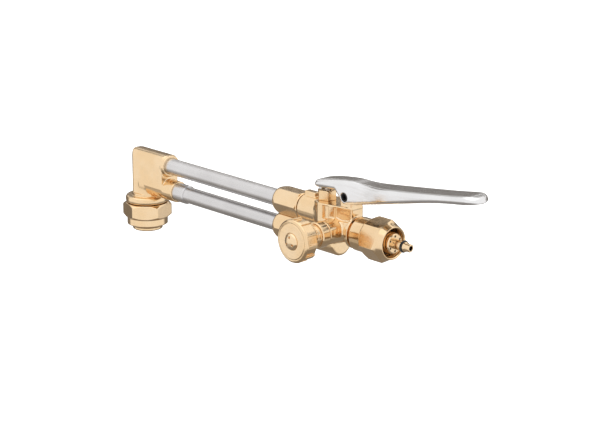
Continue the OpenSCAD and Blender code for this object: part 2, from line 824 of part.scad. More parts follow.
// A helix of wire, swept by a ring of points at each step.
module cutting_spring() color("silver") {
    sides = 8;
    steps = 16 * spring_turns;
    wire_r = spring_wire / 2;
    length = spring_z1 - spring_z0 - spring_wire - 0.1;
    rings = [for (i = [0:steps]) let (a = 360 * spring_turns * i / steps) [
        for (k = [0:sides - 1]) let (b = 360 * k / sides)
            [(spring_r + wire_r * cos(b)) * cos(a), (spring_r + wire_r * cos(b)) * sin(a),
             length * i / steps + wire_r * sin(b)]]];
    translate([stem_x, 0, spring_z0 + wire_r + 0.05])
        polyhedron(
            points = [for (ring = rings) for (p = ring) p],
            faces = concat(
                [[for (k = [0:sides - 1]) k]],
                [for (i = [0:steps - 1]) for (k = [0:sides - 1])
                    [i * sides + k, (i + 1) * sides + k,
                     (i + 1) * sides + (k + 1) % sides, i * sides + (k + 1) % sides]],
                [[for (k = [sides - 1:-1:0]) steps * sides + k]]
            )
        );
}

// ---- Cutting lever, drawn level about its pin and then sloped ----

lever_w = lug_w + 2 * (lever_t + gap);
lever_front = pin_x - stem_x + lever_nose;
// The sloping nose stands high enough above the pin to clear the top of the stem's head.
stem_clear = 0.87;
nose_top = stem_head_z + stem_head_h + stem_clear + lever_t - pin_z + (pin_x - stem_x) * sin(lever_slope);

// Upper edge of the lever from the side: nose, hump over the pin, then the long hand part.
function lever_top(reach) = smooth([
    [-lever_front, nose_top - 3], [-lever_front + 1.2, nose_top - 1.2], [-lever_front + 5, nose_top],
    [-10, 9.3], [4, 9.3],
    [14, 8.1], [26, 7.3], [0.45 * reach, 7.3], [0.75 * reach, 7.7], [0.92 * reach, 8.2],
    [reach - 3, 7.4], [reach - 0.6, 5.6], [reach, 4]
]);

// Lower edge of the lever's flanges, from the end forward to the nose.
function lever_bottom(reach) = concat(
    smooth([[reach, 3.4], [reach - 6, 3.5], [0.72 * reach, 2.8], [0.45 * reach, 0.2], [22, -2.3], [8, -4]]),
    arc([0, 0], lug_r + 0.2, -65, -155, 8),
    [[-7.6, 3.1], [-lever_front + 3, 3.6], [-lever_front + 0.6, 3.9]]
);

module lever_side(reach) {
    polygon(concat(lever_top(reach), lever_bottom(reach)));
}

// Outline of the lever from above, with half widths less the given inset.
module lever_plan(inset) {
    half = lever_w / 2 - inset;
    hand = lever_hand_w / 2 - inset;
    nose = -lever_front + inset;
    end = lever_reach - inset;
    edge = concat(
        arc([nose + 3.5, half - 3.5], 3.5, 180, 90),
        smooth([[8, half], [16, half + 0.2 * (hand - half)], [30, hand - 0.2], [0.45 * lever_reach, hand],
                [0.75 * lever_reach, hand], [end - hand, hand]]),
        arc([end - hand, 0], hand, 78, 0)
    );
    polygon(concat(edge, [for (i = [len(edge) - 1:-1:0]) [edge[i][0], -edge[i][1]]]));
}

module lever() color("gainsboro") {
    depth = lever_hand_w + 2 * over;
    translate([pin_x, 0, pin_z])
        rotate([0, -lever_slope, 0])
            difference() {
                intersection() {
                    translate([0, depth / 2, 0])
                        rotate([90, 0, 0])
                            linear_extrude(depth)
                                lever_side(lever_reach);
                    translate([0, 0, -20])
                        linear_extrude(40)
                            lever_plan(0);
                }
                intersection() {
                    translate([0, depth / 2, -lever_t])
                        rotate([90, 0, 0])
                            linear_extrude(depth)
                                polygon(concat(lever_top(lever_reach),
                                               [[lever_reach, -20], [-lever_front, -20]]));
                    translate([0, 0, -20])
                        linear_extrude(40)
                            lever_plan(lever_t);
                }
                rod_out(pin_r + fit, -lever_w, lever_w);
            }
    // Two studs inside the nose lift the cutting stem by its head.
    for (side = [1, -1])
        rod_out(stud_r, side > 0 ? stem_r + 0.4 : -lever_w / 2 + lever_t / 2,
                side > 0 ? lever_w / 2 - lever_t / 2 : -stem_r - 0.4, stem_x, stud_z);
}

// A rolled spring pin, slit along its upper side.
module lever_pin() color("dimgray") {
    slit = 0.6;
    half = lever_w / 2 - 0.1;
    difference() {
        rod_out(pin_r, -half, half, pin_x, pin_z);
        rod_out(pin_r - 0.8, -lever_w, lever_w, pin_x, pin_z);
        box([pin_x - slit / 2, -lever_w, pin_z], [pin_x + slit / 2, lever_w, pin_z + pin_r + over]);
    }
}

// ---- Preheat valve ----

module packing_nut() color("goldenrod") {
    d0 = valve_boss_out + packing_nut_gap;
    difference() {
        union() {
            turned_out([
                [d0, 0],
                [d0, packing_nut_r - 0.5],
                [d0 + 0.5, packing_nut_r],
                [d0 + 5, packing_nut_r],
                [d0 + 5.5, packing_nut_r - 0.5],
                [d0 + 5.5, packing_nut_r - 1.4],
                [packing_nut_out - 1, packing_nut_r - 1.4],
                [packing_nut_out, packing_nut_r - 2.4],
                [packing_nut_out, 0]
            ], knob_x);
            rod_out(packing_nut_thread_r, packing_in + packing_len, d0 + over, knob_x);
        }
        rod_out(needle_r + fit, packing_in, packing_nut_out + over, knob_x);
    }
}

module packing() color("white") {
    difference() {
        rod_out(packing_nut_thread_r, packing_in, packing_in + packing_len, knob_x);
        rod_out(needle_r + fit, packing_in - over, packing_in + packing_len + over, knob_x);
    }
}

module needle_stem() color("silver") {
    point_len = 3;
    turned_out([
        [needle_seat - 1, 0],
        [needle_seat - 1, 0.3],
        [needle_seat - 1 + point_len, needle_r],
        [needle_out, needle_r],
        [needle_out, 0]
    ], knob_x);
}

module knob() color("goldenrod") {
    rim = 1.6;
    land_r = knob_r - flute_depth;
    difference() {
        turned_out([
            [knob_in, 0],
            [knob_in, needle_r + 2.4],
            [knob_in + 0.8, needle_r + 2.8],
            [knob_in + 0.8, knob_r - 1],
            [knob_in + 1.4, knob_r - 0.4],
            [knob_in + 2, knob_r - 0.2],
            [knob_out - 1.8, knob_r],
            [knob_out - 0.8, knob_r - 0.4],
            [knob_out - 0.2, knob_r - 1.2],
            [knob_out, knob_r - 2.2],
            [knob_out, 0]
        ], knob_x);
        for (k = [0:knob_flutes - 1])
            translate([knob_x, 0, 0])
                rotate([0, 360 * k / knob_flutes - knob_turn, 0])
                    box([land_r, -knob_out + rim, -flute_w / 2],
                        [knob_r + over, over - knob_in, flute_w / 2]);
        rod_out(needle_r + fit, knob_in - over, needle_out + fit, knob_x);
        rod_out(knob_cap_r, knob_out - 1, knob_out + over, knob_x);
    }
}

// The cap over the knob's middle, with three spanner dimples.
module knob_cap() color("goldenrod") {
    dimple_r = 0.6;
    dimple_depth = 0.8;
    dimple_circle_r = knob_cap_r * 0.55;
    top = knob_out + knob_cap_h;
    difference() {
        turned_out([
            [knob_out - 1, 0],
            [knob_out - 1, knob_cap_r],
            [top - 0.6, knob_cap_r],
            [top, knob_cap_r - 0.9],
            [top, 0]
        ], knob_x);
        for (k = [0:2])
            translate([knob_x, 0, 0])
                rotate([0, 120 * k + 30, 0])
                    rod_out(dimple_r, top - dimple_depth, top + over, dimple_circle_r);
    }
}

// ---- Coupling ----

module cone_end() color("goldenrod") {
    difference() {
        turned_x([
            [shank_x0, 0],
            [shank_x0, cone_shank_r],
            [neck_x1, cone_shank_r],
            [neck_x1, cone_root_r],
            [neck_x1 + 2.4, cone_root_r],
            [cone_proud - 0.5, cone_face_r],
            [cone_proud, cone_face_r - 0.5],
            [cone_proud, 0]
        ]);
        rod_x(nipple_root_r, shank_x0 - over, cone_proud + over);
        for (k = [0:fuel_holes - 1])
            rotate([360 * k / fuel_holes, 0, 0])
                rod_x(fuel_hole_r, shank_x0 - over, cone_proud + over, 0, fuel_circle_r);
        translate([cone_oring_x, 0, 0])
            rotate([0, 90, 0])
                rotate_extrude()
                    translate([cone_oring_major, -groove_w / 2])
                        square([cone_root_r, groove_w]);
    }
}

module nipple() color("goldenrod") {
    tip_x0 = nipple_x1 - nipple_tip_len;
    difference() {
        turned_x([
            [nipple_x0, 0],
            [nipple_x0, nipple_root_r],
            [cone_proud, nipple_root_r],
            [cone_proud, nipple_r],
            [nipple_oring_x - groove_w / 2, nipple_r],
            [nipple_oring_x - groove_w / 2, nipple_groove_r],
            [nipple_oring_x + groove_w / 2, nipple_groove_r],
            [nipple_oring_x + groove_w / 2, nipple_r],
            [tip_x0 - 0.5, nipple_r],
            [tip_x0, nipple_tip_r],
            [nipple_x1 - 0.4, nipple_tip_r],
            [nipple_x1, nipple_tip_r - 0.4],
            [nipple_x1, 0]
        ]);
        rod_x(nipple_bore_r, nipple_x0 - over, nipple_x1 + over);
    }
}

module nipple_oring() color("black") {
    translate([nipple_oring_x, 0, 0])
        rotate([0, 90, 0])
            cord_ring(nipple_groove_r + oring_r, oring_r);
}

module cone_oring() color("black") {
    translate([cone_oring_x, 0, 0])
        rotate([0, 90, 0])
            cord_ring(cone_oring_major + oring_r, oring_r);
}

module coupling_nut() color("goldenrod") {
    corner_r = nut_af / sqrt(3);
    difference() {
        union() {
            intersection() {
                translate([nut_hex_x0, 0, 0])
                    rotate([0, 90, 0])
                        rotate([0, 0, nut_turn])
                            hex_bar(nut_af, nut_hex_len);
                turned_x([
                    [nut_hex_x0, 0],
                    [nut_hex_x0, nut_front_r],
                    [nut_hex_x0 + 2.6, corner_r + hex_clear],
                    [nut_hex_x0 + nut_hex_len - 1.8, corner_r + hex_clear],
                    [nut_hex_x0 + nut_hex_len, nut_af / 2 - 0.4],
                    [nut_hex_x0 + nut_hex_len, 0]
                ]);
            }
            turned_x([
                [nut_x0, 0],
                [nut_x0, nut_front_r - 1],
                [nut_x0 + 1, nut_front_r],
                [nut_hex_x0 + 1, nut_front_r],
                [nut_hex_x0 + 1, nut_collar_r],
                [-nut_collar_len, nut_collar_r],
                [-0.6, nut_collar_r - 0.9],
                [0, nut_collar_r - 1.3],
                [0, 0]
            ]);
        }
        rod_x(neck_r + fit, nut_x0 - over, nut_lip_x1 + over);
        rod_x(nut_bore_r, nut_lip_x1, over);
        turned_x([[-0.6, 0], [-0.6, nut_bore_r], [0.01, nut_bore_r + 0.6], [0.01, 0]]);
        rod_x(ring_out_r + fit, ring_x0 - fit, ring_x1 + fit);
    }
}

// The split ring that sits in the nut's groove and stops it at the neck's shoulder.
module nut_ring() color("silver") {
    difference() {
        rod_x(ring_out_r, ring_x0, ring_x1);
        rod_x(ring_in_r, ring_x0 - over, ring_x1 + over);
        box([ring_x0 - over, -ring_slot / 2, ring_in_r - over],
            [ring_x1 + over, ring_slot / 2, ring_out_r + over]);
    }
}

torch_head();
tip_nut();
upper_tube();
lower_tube();
tube_ferrule();
upper_olive();
lower_olive();
upper_tube_nut();
lower_tube_nut();
valve_body();
mixer();
valve_bonnet();
cutting_stem();
cutting_spring();
seat_disc();
stem_oring();
lever();
lever_pin();
packing_nut();
packing();
needle_stem();
knob();
knob_cap();
cone_end();
nipple();
nipple_oring();
cone_oring();
coupling_nut();
nut_ring();
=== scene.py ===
"""Looks for the cutting attachment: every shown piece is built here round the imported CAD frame."""

import logging
import math
from dataclasses import dataclass
from enum import Enum
from itertools import product
from typing import Callable, Optional, Sequence

import bmesh
import bpy
import numpy as np
from mathutils import Matrix, Vector


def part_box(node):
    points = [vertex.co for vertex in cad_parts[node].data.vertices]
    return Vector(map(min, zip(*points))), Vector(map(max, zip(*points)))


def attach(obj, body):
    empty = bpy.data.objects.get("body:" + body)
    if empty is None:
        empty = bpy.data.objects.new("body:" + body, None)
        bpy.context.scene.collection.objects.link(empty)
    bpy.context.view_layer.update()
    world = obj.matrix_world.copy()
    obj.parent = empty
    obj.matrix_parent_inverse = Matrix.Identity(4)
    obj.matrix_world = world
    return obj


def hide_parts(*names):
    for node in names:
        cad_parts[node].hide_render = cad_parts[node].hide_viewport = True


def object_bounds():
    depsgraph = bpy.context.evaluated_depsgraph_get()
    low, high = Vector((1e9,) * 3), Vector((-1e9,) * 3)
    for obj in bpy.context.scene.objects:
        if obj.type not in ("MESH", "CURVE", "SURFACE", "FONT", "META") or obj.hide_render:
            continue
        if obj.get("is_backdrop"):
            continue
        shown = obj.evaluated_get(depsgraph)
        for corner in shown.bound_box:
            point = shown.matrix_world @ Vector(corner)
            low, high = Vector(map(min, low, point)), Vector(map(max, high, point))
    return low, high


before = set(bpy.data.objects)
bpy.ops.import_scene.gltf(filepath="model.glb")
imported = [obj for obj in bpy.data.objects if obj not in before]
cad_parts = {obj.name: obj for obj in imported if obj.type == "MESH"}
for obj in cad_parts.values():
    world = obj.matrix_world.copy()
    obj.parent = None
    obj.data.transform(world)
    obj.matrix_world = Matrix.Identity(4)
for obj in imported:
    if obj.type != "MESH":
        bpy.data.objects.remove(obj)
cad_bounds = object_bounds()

log = logging.getLogger("cutting_attachment")
MM = 0.001
Distance = Callable[[np.ndarray], np.ndarray]
Profile = list[tuple[float, float]]


# ---------------------------------------------------------------- outlines


def soften(points: Profile, radius: float, closed: bool = True, steps: int = 4) -> Profile:
    """Rounds the corners of an outline.

    Args:
        points: the outline's corners, in order.
        radius: the fillet's radius, less where an edge is too short for it.
        closed: whether the last corner joins the first.
        steps: straight steps in each fillet.

    Returns:
        The outline with an arc in place of each corner.
    """
    pts = [np.array(p, float) for p in points]
    out: Profile = []
    count = len(pts)
    for i, here in enumerate(pts):
        if not closed and i in (0, count - 1):
            out.append(tuple(here))
            continue
        before, after = pts[i - 1] - here, pts[(i + 1) % count] - here
        la, lb = np.linalg.norm(before), np.linalg.norm(after)
        ua, ub = before / la, after / lb
        cosine = float(np.clip(ua @ ub, -1, 1))
        angle = math.acos(cosine)
        if angle > math.radians(172) or angle < 1e-3:
            out.append(tuple(here))
            continue
        cut = min(radius / math.tan(angle / 2), 0.46 * la, 0.46 * lb)
        a, b = here + ua * cut, here + ub * cut
        for k in range(steps + 1):
            t = k / steps
            out.append(tuple((1 - t) ** 2 * a + 2 * t * (1 - t) * here + t * t * b))
    return out


def arc(cx: float, cy: float, r: float, a0: float, a1: float, n: int = 8) -> Profile:
    """Points of an arc round (cx, cy), from angle a0 to a1 in degrees."""
    angles = [math.radians(a0 + (a1 - a0) * i / n) for i in range(n + 1)]
    return [(cx + r * math.cos(a), cy + r * math.sin(a)) for a in angles]


def flowing(points: Profile, n: int = 8) -> Profile:
    """A smooth curve through points, as the lever's edges run.

    Args:
        points: the points that the curve passes through.
        n: steps between two of them.

    Returns:
        The points of the curve.
    """
    p = [np.array(q, float) for q in points]
    out: Profile = []
    last = len(p) - 1
    for i in range(last):
        a, b, c, d = p[max(i - 1, 0)], p[i], p[i + 1], p[min(i + 2, last)]
        for k in range(n):
            t = k / n
            s = 0.5 * (2 * b + (c - a) * t + (2 * a - 5 * b + 4 * c - d) * t**2
                       + (3 * b - a - 3 * c + d) * t**3)
            out.append((float(s[0]), float(s[1])))
    out.append((float(p[last][0]), float(p[last][1])))
    return out


class Outline:
    """Signed distance to a closed outline, worked out once on a fine table."""

    def __init__(self, points: Profile, cell: float = 0.12, margin: float = 3.0) -> None:
        """Tabulates the distance round the outline.

        Args:
            points: corners of the closed outline.
            cell: spacing of the table.
            margin: how far the table reaches past the outline.
        """
        p = np.array(points, np.float32)
        q = np.roll(p, -1, 0)
        self.low = p.min(0) - margin
        self.cell = cell
        size = np.ceil((p.max(0) + margin - self.low) / cell).astype(int) + 1
        u = self.low[0] + np.arange(size[0], dtype=np.float32) * cell
        v = self.low[1] + np.arange(size[1], dtype=np.float32) * cell
        gu, gv = np.meshgrid(u, v, indexing="ij")
        best = np.full(gu.shape, 1e9, np.float32)
        odd = np.zeros(gu.shape, bool)
        for (ax, ay), (bx, by) in zip(p, q):
            ex, ey = bx - ax, by - ay
            length = ex * ex + ey * ey
            if length < 1e-12:
                continue
            t = np.clip(((gu - ax) * ex + (gv - ay) * ey) / length, 0, 1)
            best = np.minimum(best, (gu - ax - t * ex) ** 2 + (gv - ay - t * ey) ** 2)
            if ay != by:
                odd ^= ((ay > gv) != (by > gv)) & (gu < (bx - ax) * (gv - ay) / (by - ay) + ax)
        self.table = np.where(odd, -1, 1) * np.sqrt(best)
        self.top = np.array(size) - 1.001

    def __call__(self, u: np.ndarray, v: np.ndarray) -> np.ndarray:
        """Signed distance at the points (u, v)."""
        fu, fv = (u - self.low[0]) / self.cell, (v - self.low[1]) / self.cell
        cu, cv = np.clip(fu, 0, self.top[0]), np.clip(fv, 0, self.top[1])
        iu, iv = cu.astype(int), cv.astype(int)
        tu, tv = cu - iu, cv - iv
        t = self.table
        near = t[iu, iv] * (1 - tu) * (1 - tv) + t[iu + 1, iv] * tu * (1 - tv)
        far = t[iu, iv + 1] * (1 - tu) * tv + t[iu + 1, iv + 1] * tu * tv
        return near + far + self.cell * np.hypot(fu - cu, fv - cv)


# ---------------------------------------------------------------- solids


class Solid:
    """A solid held as a signed distance in millimetres, negative inside."""

    def __init__(self, distance: Distance) -> None:
        """Keeps the distance function."""
        self.distance = distance

    def join(self, other: "Solid", fillet: float = 0.0) -> "Solid":
        """Both solids together, with a fillet where they meet."""
        return Solid(lambda p: _round_min(self.distance(p), other.distance(p), fillet))

    def keep(self, other: "Solid", edge: float = 0.0) -> "Solid":
        """What both solids share, with rounded edges where their faces cross."""
        return Solid(lambda p: -_round_min(-self.distance(p), -other.distance(p), edge))

    def cut(self, other: "Solid", edge: float = 0.0) -> "Solid":
        """This solid less the other, with rounded edges at the cut."""
        return Solid(lambda p: -_round_min(-self.distance(p), other.distance(p), edge))


def _round_min(a: np.ndarray, b: np.ndarray, r: float) -> np.ndarray:
    """The lesser of two distances, rounded over r where they meet."""
    if r <= 0:
        return np.minimum(a, b)
    reach = np.sqrt(np.maximum(r - a, 0) ** 2 + np.maximum(r - b, 0) ** 2)
    return np.maximum(r, np.minimum(a, b)) - reach


class Axis(Enum):
    """The axis that a turned piece is turned about."""

    X = (0, 1, 2)
    OUT = (1, 0, 2)
    Z = (2, 0, 1)


def stations(p: np.ndarray, axis: Axis, at: Sequence[float]) -> tuple[np.ndarray, np.ndarray]:
    """Place along an axis, and distance from it.

    Args:
        p: points, one a row.
        axis: the axis. OUT runs along -Y.
        at: the two other coordinates that the axis passes through.

    Returns:
        The station of each point, and its radius.
    """
    main, first, second = axis.value
    along = -p[:, main] if axis is Axis.OUT else p[:, main]
    return along, np.hypot(p[:, first] - at[0], p[:, second] - at[1])


def lathe(axis: Axis, at: Sequence[float], profile: Profile, radius: float = 0.3) -> Solid:
    """A turned solid.

    Args:
        axis: what it is turned about.
        at: where that axis passes.
        profile: its (station, radius) points, which start and end on the axis.
        radius: the fillet at its corners.

    Returns:
        The solid.
    """
    mirrored = [(s, -r) for s, r in reversed(profile) if r > 0]
    whole = [(s, r) for s, r in profile if r > 0] + mirrored
    outline = Outline(soften(whole, radius))
    return Solid(lambda p: outline(*stations(p, axis, at)))


def rod(axis: Axis, at: Sequence[float], r: float, a0: float, a1: float,
        edge: float = 0.0) -> Solid:
    """A round rod of radius r between two stations, with rounded ends."""

    def distance(p: np.ndarray) -> np.ndarray:
        along, out = stations(p, axis, at)
        side = out - (r - edge)
        ends = np.abs(along - (a0 + a1) / 2) - ((a1 - a0) / 2 - edge)
        outer = np.hypot(np.maximum(side, 0), np.maximum(ends, 0))
        return outer + np.minimum(np.maximum(side, ends), 0) - edge

    return Solid(distance)


def block(low: Sequence[float], high: Sequence[float], edge: float = 0.0) -> Solid:
    """A box between two corners, with rounded edges."""
    centre = np.array([(a + b) / 2 for a, b in zip(low, high)], np.float32)
    half = np.array([(b - a) / 2 - edge for a, b in zip(low, high)], np.float32)

    def distance(p: np.ndarray) -> np.ndarray:
        q = np.abs(p - centre) - half
        return np.linalg.norm(np.maximum(q, 0), axis=1) + np.minimum(q.max(1), 0) - edge

    return Solid(distance)


def hexagon(axis: Axis, at: Sequence[float], flats: float, turn: float, edge: float) -> Solid:
    """An endless hexagonal bar.

    Args:
        axis: the bar's axis.
        at: where that axis passes.
        flats: width across the flats.
        turn: angle of one corner, in degrees, from the second axis towards the third.
        edge: rounding of the corners.

    Returns:
        The solid.
    """
    _, first, second = axis.value

    def distance(p: np.ndarray) -> np.ndarray:
        u, v = p[:, first] - at[0], p[:, second] - at[1]
        reach = None
        for k in range(6):
            a = math.radians(turn + 30 + 60 * k)
            face = u * math.cos(a) + v * math.sin(a) - flats / 2
            reach = face if reach is None else -_round_min(-reach, -face, edge)
        return reach

    return Solid(distance)


def prism(axis: Axis, points: Profile) -> Solid:
    """An endless bar with the given outline, in the two axes across the given one."""
    outline = Outline(points)
    _, first, second = axis.value
    return Solid(lambda p: outline(p[:, first], p[:, second]))


def skin(solid: Solid, low: Sequence[float], high: Sequence[float],
         step: float) -> tuple[np.ndarray, np.ndarray]:
    """The surface of a solid, as an even net of quads.

    Args:
        solid: the solid.
        low: lowest corner of the space searched.
        high: highest corner.
        step: spacing of the net.

    Returns:
        The points and the quads.
    """
    run = 6
    low_ = np.array(low, np.float32) - 1.5 * step
    blocks = np.ceil((np.array(high) + 1.5 * step - low_) / (run * step)).astype(int)
    coarse = np.indices(blocks).reshape(3, -1).T
    at = low_ + (coarse * run + (run - 1) / 2) * step
    rough = solid.distance(at.astype(np.float32)).reshape(blocks)
    values = rough.astype(np.float32)
    for a in range(3):
        values = np.repeat(values, run, a)
    near = np.argwhere(np.abs(rough) < run * step * 0.95)
    offsets = np.indices((run, run, run)).reshape(3, -1).T
    nodes = (near[:, None, :] * run + offsets[None]).reshape(-1, 3)
    values[tuple(nodes.T)] = solid.distance((low_ + nodes * step).astype(np.float32))
    values[values == 0] = 1e-6
    inside = values < 0
    cells = np.array(values.shape) - 1
    full = np.zeros(cells, np.int8)
    for i, j, k in product((0, 1), repeat=3):
        full += inside[i:cells[0] + i, j:cells[1] + j, k:cells[2] + k]
    active = (full > 0) & (full < 8)
    number = np.full(cells, -1, np.int64)
    cell = np.argwhere(active)
    number[active] = np.arange(len(cell))
    total = np.zeros((len(cell), 3))
    hits = np.zeros(len(cell))
    for a in range(3):
        b, c = [x for x in range(3) if x != a]
        for ob, oc in product((0, 1), repeat=2):
            start = cell.copy()
            start[:, b] += ob
            start[:, c] += oc
            end = start.copy()
            end[:, a] += 1
            v0, v1 = values[tuple(start.T)], values[tuple(end.T)]
            hit = (v0 < 0) != (v1 < 0)
            t = np.where(hit, v0 / np.where(v0 == v1, 1, v0 - v1), 0)
            spot = start.astype(float)
            spot[:, a] += t
            total += spot * hit[:, None]
            hits += hit
    points = (low_ + (total / hits[:, None]) * step).astype(np.float32)
    quads = []
    for a in range(3):
        b, c = (a + 1) % 3, (a + 2) % 3
        lo = [slice(0, n) for n in values.shape]
        hi = [slice(0, n) for n in values.shape]
        lo[a], hi[a] = slice(0, -1), slice(1, None)
        crossing = np.argwhere(inside[tuple(lo)] != inside[tuple(hi)])
        ok = (crossing[:, b] > 0) & (crossing[:, c] > 0)
        ok &= (crossing[:, b] < cells[b]) & (crossing[:, c] < cells[c])
        crossing = crossing[ok]
        ring = []
        for ob, oc in ((-1, -1), (0, -1), (0, 0), (-1, 0)):
            near_cell = crossing.copy()
            near_cell[:, b] += ob
            near_cell[:, c] += oc
            ring.append(number[tuple(near_cell.T)])
        ring = np.stack(ring, 1)
        outwards = inside[tuple(crossing.T)]
        quads.append(np.where(outwards[:, None], ring, ring[:, ::-1]))
    faces = np.concatenate(quads)
    return settle(solid, points, faces, step), faces


def settle(solid: Solid, points: np.ndarray, faces: np.ndarray, step: float) -> np.ndarray:
    """Evens a net out and lays it on its solid's surface.

    Args:
        solid: the solid.
        points: the net's points.
        faces: its quads.
        step: its spacing.

    Returns:
        The points, moved.
    """
    for turn in range(4):
        if turn < 2:
            total = np.zeros((len(points), 3))
            count = np.zeros(len(points))
            for k in range(4):
                a, b = faces[:, k], faces[:, (k + 1) % 4]
                for i in range(3):
                    total[:, i] += np.bincount(a, points[b, i], len(points))
                count += np.bincount(a, minlength=len(points))
            points = (0.5 * points + 0.5 * total / np.maximum(count, 1)[:, None]).astype(np.float32)
        here = solid.distance(points)
        slope = np.zeros_like(points)
        small = 0.25 * step
        for a in range(3):
            nudge = np.zeros(3, np.float32)
            nudge[a] = small
            rise = solid.distance(points + nudge) - solid.distance(points - nudge)
            slope[:, a] = rise / (2 * small)
        size = np.maximum((slope**2).sum(1), 0.25)
        move = (here / size)[:, None] * slope
        length = np.linalg.norm(move, axis=1, keepdims=True)
        points = points - move * np.minimum(1, 0.6 * step / np.maximum(length, 1e-9))
    return points


# ---------------------------------------------------------------- materials


class Value:
    """A number that changes over a surface: Python's operators add Math nodes."""

    def __init__(self, nodes: "Nodes", socket: bpy.types.NodeSocket) -> None:
        """Wraps one socket of a node tree."""
        self.nodes = nodes
        self.socket = socket

    def _maths(self, operation: str, first: object, second: object) -> "Value":
        """Adds one Math node, clamped never."""
        return self.nodes.add("ShaderNodeMath", {"operation": operation}, {0: first, 1: second})

    def __add__(self, other: object) -> "Value":
        """Sum."""
        return self._maths("ADD", self, other)

    def __sub__(self, other: object) -> "Value":
        """Difference."""
        return self._maths("SUBTRACT", self, other)

    def __rsub__(self, other: object) -> "Value":
        """Difference, with the number first."""
        return self._maths("SUBTRACT", other, self)

    def __mul__(self, other: object) -> "Value":
        """Product."""
        return self._maths("MULTIPLY", self, other)

    def __pow__(self, other: object) -> "Value":
        """Power."""
        return self._maths("POWER", self, other)

    __radd__ = __add__
    __rmul__ = __mul__


class Nodes:
    """A node tree, filled through one method."""

    def __init__(self, tree: bpy.types.NodeTree) -> None:
        """Empties the tree."""
        tree.nodes.clear()
        self.tree = tree

    def add(self, kind: str, settings: Optional[dict] = None, sockets: Optional[dict] = None,
            out: object = 0) -> Value:
        """Adds a node.

        Args:
            kind: the node's type.
            settings: its own settings; "stops" are a ramp's (place, colour) pairs.
            sockets: values or links of its inputs, by name or number.
            out: the output that is wanted.

        Returns:
            That output.
        """
        node = self.tree.nodes.new(kind)
        for name, setting in (settings or {}).items():
            if name == "stops":
                for i, (place, colour) in enumerate(setting):
                    many = node.color_ramp.elements
                    stop = many[i] if i < len(many) else many.new(place)
                    stop.position, stop.color = place, colour
            else:
                setattr(node, name, setting)
        for name, value in (sockets or {}).items():
            socket = node.inputs[name]
            if isinstance(value, Value):
                self.tree.links.new(value.socket, socket)
            else:
                socket.default_value = value
        return Value(self, node.outputs[out]) if node.outputs else Value(self, None)

    def place(self) -> Value:
        """The point on the piece, in its own frame."""
        return self.add("ShaderNodeTexCoord", out="Object")

    def noise(self, at: Value, scale: float, detail: float = 2.0, rough: float = 0.5) -> Value:
        """Noise between 0 and 1 at a point."""
        wanted = {"Vector": at, "Scale": scale, "Detail": detail, "Roughness": rough}
        return self.add("ShaderNodeTexNoise", {}, wanted, "Fac")

    def stretch(self, at: Value, by: Sequence[float]) -> Value:
        """A point scaled by a different amount along each axis."""
        return self.add("ShaderNodeVectorMath", {"operation": "MULTIPLY"}, {0: at, 1: tuple(by)})

    def between(self, value: Value, low: float, high: float,
                to: Sequence[float] = (0.0, 1.0)) -> Value:
        """A smooth step from to[0] at low to to[1] at high."""
        wanted = {"Value": value, "From Min": low, "From Max": high, "To Min": to[0], "To Max": to[1]}
        return self.add("ShaderNodeMapRange", {"interpolation_type": "SMOOTHSTEP"}, wanted)

    def mix(self, factor: Value, first: object, second: object) -> Value:
        """Two colours mixed."""
        wanted = {"Factor": factor, 6: first, 7: second}
        return self.add("ShaderNodeMix", {"data_type": "RGBA"}, wanted, 2)

    def bump(self, height: Value, distance: float, strength: float = 1.0) -> Value:
        """A bumped normal. The distance is in metres."""
        wanted = {"Height": height, "Distance": distance, "Strength": strength}
        return self.add("ShaderNodeBump", {}, wanted)


Colour = tuple[float, float, float, float]
MADE: dict[str, bpy.types.Material] = {}


@dataclass(frozen=True)
class Finish:
    """What every finish shares: a name, a slot, and a shader."""

    name: str
    slot: str

    def paint(self, n: Nodes) -> dict:
        """The shader's inputs. Each finish has its own."""
        raise NotImplementedError

    def material(self) -> bpy.types.Material:
        """Makes the material once. A name that the CAD frame already uses is refused."""
        if self.name not in MADE:
            if self.name in bpy.data.materials:
                raise ValueError(f"the CAD frame already has a material called {self.name}")
            made = bpy.data.materials.new(self.name)
            made.use_nodes = True
            n = Nodes(made.node_tree)
            shader = n.add("ShaderNodeBsdfPrincipled", {}, self.paint(n))
            n.add("ShaderNodeOutputMaterial", {}, {"Surface": shader})
            MADE[self.name] = made
        return MADE[self.name]


class Grain(Enum):
    """How a metal surface was worked."""

    FORGED = 0
    TURNED_X = 1
    TURNED_OUT = 2
    TURNED_Z = 3


